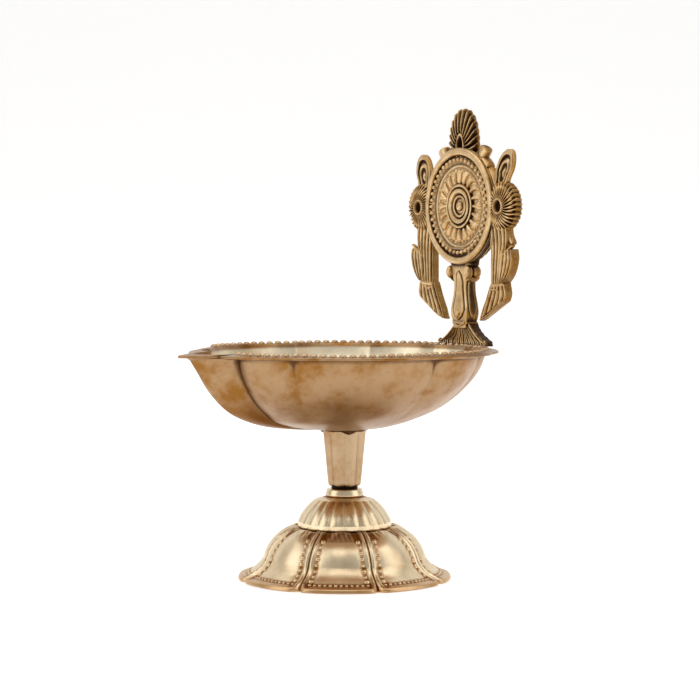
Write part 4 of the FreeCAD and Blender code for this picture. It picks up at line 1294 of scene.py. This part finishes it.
def ribbon(side):
    """A ribbon's tail: a pleated drape, a flap folded over it, a cuff, and a flared pleated end."""

    def across(points):
        return [(side * x, z) for x, z in points]

    drape = pleated(across([(13.4, 106.5), (15.2, 98), (15.4, 92), (15.4, 86.2)]),
                    across([(23.0, 106.5), (23.7, 100.5), (22.6, 94), (21.6, 86.2)]),
                    43.1, 1.35, 5, 0.95, 60, 120)
    flap = pleated(across([(20.6, 97.0), (19.9, 94.5), (19.5, 90), (20.0, 86.6)]),
                   across([(26.2, 97.2), (26.7, 94.0), (25.0, 89.8), (22.0, 87.0)]),
                   42.9, 1.45, 4, 0.9, 40, 100)
    fold = flat_bar(across([(20.4, 94.7), (22.6, 95.9), (25.0, 97.4), (26.7, 98.3)]),
                    42.0, 0.42, 0.85, 30, 14)
    wing = flat_bar(across([(22.2, 104.5), (23.0, 101.2), (24.8, 98.4)]), 43.6, 0.75, 1.2, 30, 14)
    cuff = flat_bar(across([(15.4, 86.0), (17.4, 86.3), (19.4, 86.4), (22.2, 86.9)]), 43.2, 1.0, 1.95, 40, 18)
    band = flat_bar(across([(15.6, 85.2), (18.0, 84.9), (19.6, 85.6)]), 42.0, 0.45, 0.8, 30, 12)
    tail = pleated(across([(15.0, 86.8), (12.9, 82.4), (10.8, 78.8), (9.3, 75.5)]),
                   across([(22.2, 87.0), (22.9, 85.2), (23.1, 83.8), (22.4, 82.0)]),
                   43.2, 1.35, 5, 0.95, 50, 120)
    hem = flat_bar(across([(9.6, 75.7), (13.8, 77.4), (18.0, 79.8), (22.3, 82.2)]), 42.1, 0.28, 0.55, 40, 12)
    return [drape, flap, fold, wing, cuff, band, tail, hem]


# ---- stage -----------------------------------------------------------------------------------------------


def make_sweep():
    """A pale matt sweep: the floor, curving up into a wall far behind the object."""
    near, far, bend, top, half = -6.0, 2.6, 1.2, 5.0, 6.0
    run = [(near, 0.0), (0.0, 0.0), (far - bend, 0.0)]
    for turn in np.linspace(0, np.pi / 2, 25)[1:]:
        run.append((far - bend + bend * math.sin(turn), bend * (1 - math.cos(turn))))
    run.append((far, top))
    corners, faces = [], []
    for away, height in run:
        for aside in (-half, half):
            corners.append(from_camera(aside, -away, height))
    for k in range(len(run) - 1):
        faces.append((2 * k, 2 * k + 1, 2 * k + 3, 2 * k + 2))
    mesh = bpy.data.meshes.new("sweep")
    mesh.from_pydata(corners, [], faces)
    mesh.shade_smooth()
    material, tree = new_material("pale_studio_paper")
    surface = add(tree, "ShaderNodeBsdfPrincipled", {
        "Base Color": linear("#f3f2f0"), "Roughness": 0.6,
        "Emission Color": linear("#ffffff"), "Emission Strength": 0.38})
    add(tree, "ShaderNodeOutputMaterial", {"Surface": surface.outputs["BSDF"]})
    mesh.materials.append(material)
    sweep = bpy.data.objects.new("sweep", mesh)
    bpy.context.scene.collection.objects.link(sweep)


def make_softbox(name, place, width, height, power):
    """A soft light that faces the lamp's middle."""
    light = bpy.data.lights.new(name, "AREA")
    light.shape = "RECTANGLE"
    light.size = width
    light.size_y = height
    light.energy = power
    softbox = bpy.data.objects.new(name, light)
    softbox.location = place
    softbox.rotation_euler = (LAMP_MIDDLE - place).to_track_quat("-Z", "Y").to_euler()
    bpy.context.scene.collection.objects.link(softbox)


# In metres, the camera's distance and height and the point it is aimed at. Its lens takes in a field 700 wide
# at a distance of 2260.
CAMERA_TURN = math.radians(58)
CAMERA_REACH, CAMERA_HEIGHT = 0.665, 0.1025
AIM_ASIDE, AIM_HEIGHT = 0.00162, 0.0675
SENSOR_WIDTH = 36
LAMP_MIDDLE = Vector((0, 0, 0.07))


def from_camera(aside, away, up):
    """A place given as to the camera's right, towards the camera and up, from the stem's axis."""
    right = Vector((math.cos(CAMERA_TURN), math.sin(CAMERA_TURN), 0))
    near = Vector((math.sin(CAMERA_TURN), -math.cos(CAMERA_TURN), 0))
    return right * aside + near * away + Vector((0, 0, up))


def make_camera():
    """The camera, a little above the rim and aimed a little below it."""
    camera = bpy.data.cameras.new("camera")
    camera.sensor_width = SENSOR_WIDTH
    camera.lens = SENSOR_WIDTH * 2260 / 700
    camera.clip_start = 0.01
    view = bpy.data.objects.new("camera", camera)
    view.location = from_camera(0, CAMERA_REACH, CAMERA_HEIGHT)
    aim = from_camera(AIM_ASIDE, 0, AIM_HEIGHT)
    view.rotation_euler = (aim - view.location).to_track_quat("-Z", "Y").to_euler()
    bpy.context.scene.collection.objects.link(view)
    bpy.context.scene.camera = view


def make_stage():
    """The sweep, an even white surround, three softboxes and the camera."""
    make_sweep()
    world = bpy.data.worlds.new("studio")
    bpy.context.scene.world = world
    world.use_nodes = True
    world.node_tree.nodes.clear()
    glow = add(world.node_tree, "ShaderNodeBackground", {"Color": linear("#ffffff"), "Strength": 0.45})
    add(world.node_tree, "ShaderNodeOutputWorld", {"Surface": glow.outputs["Background"]})
    make_softbox("top_softbox", from_camera(0, 0.0, 1.1), 1.4, 1.4, 10)
    make_softbox("left_softbox", from_camera(-1.0, 0.35, 0.5), 0.8, 1.2, 3.4)
    make_softbox("right_softbox", from_camera(1.0, 0.30, 0.5), 0.8, 1.2, 3.0)
    make_camera()
    bpy.context.scene.view_settings.view_transform = "Standard"


# ---- making ----------------------------------------------------------------------------------------------

make_stage()
make_bowl()
make_rim_beads()
make_stem()
make_braze()
make_dome()
make_skirt()
make_skirt_beads()
make_stud()
make_washer("foot_washer", FOOT)
make_washer("gap_washer", THREAD)
make_nut()
make_rivets()
make_disc()
make_disc_ornament()
make_disc_pin()
make_backing()
make_wings()
make_finial()
make_column()
make_plaque_foot()
cast("ribbon_tails", ribbon(1) + ribbon(-1))
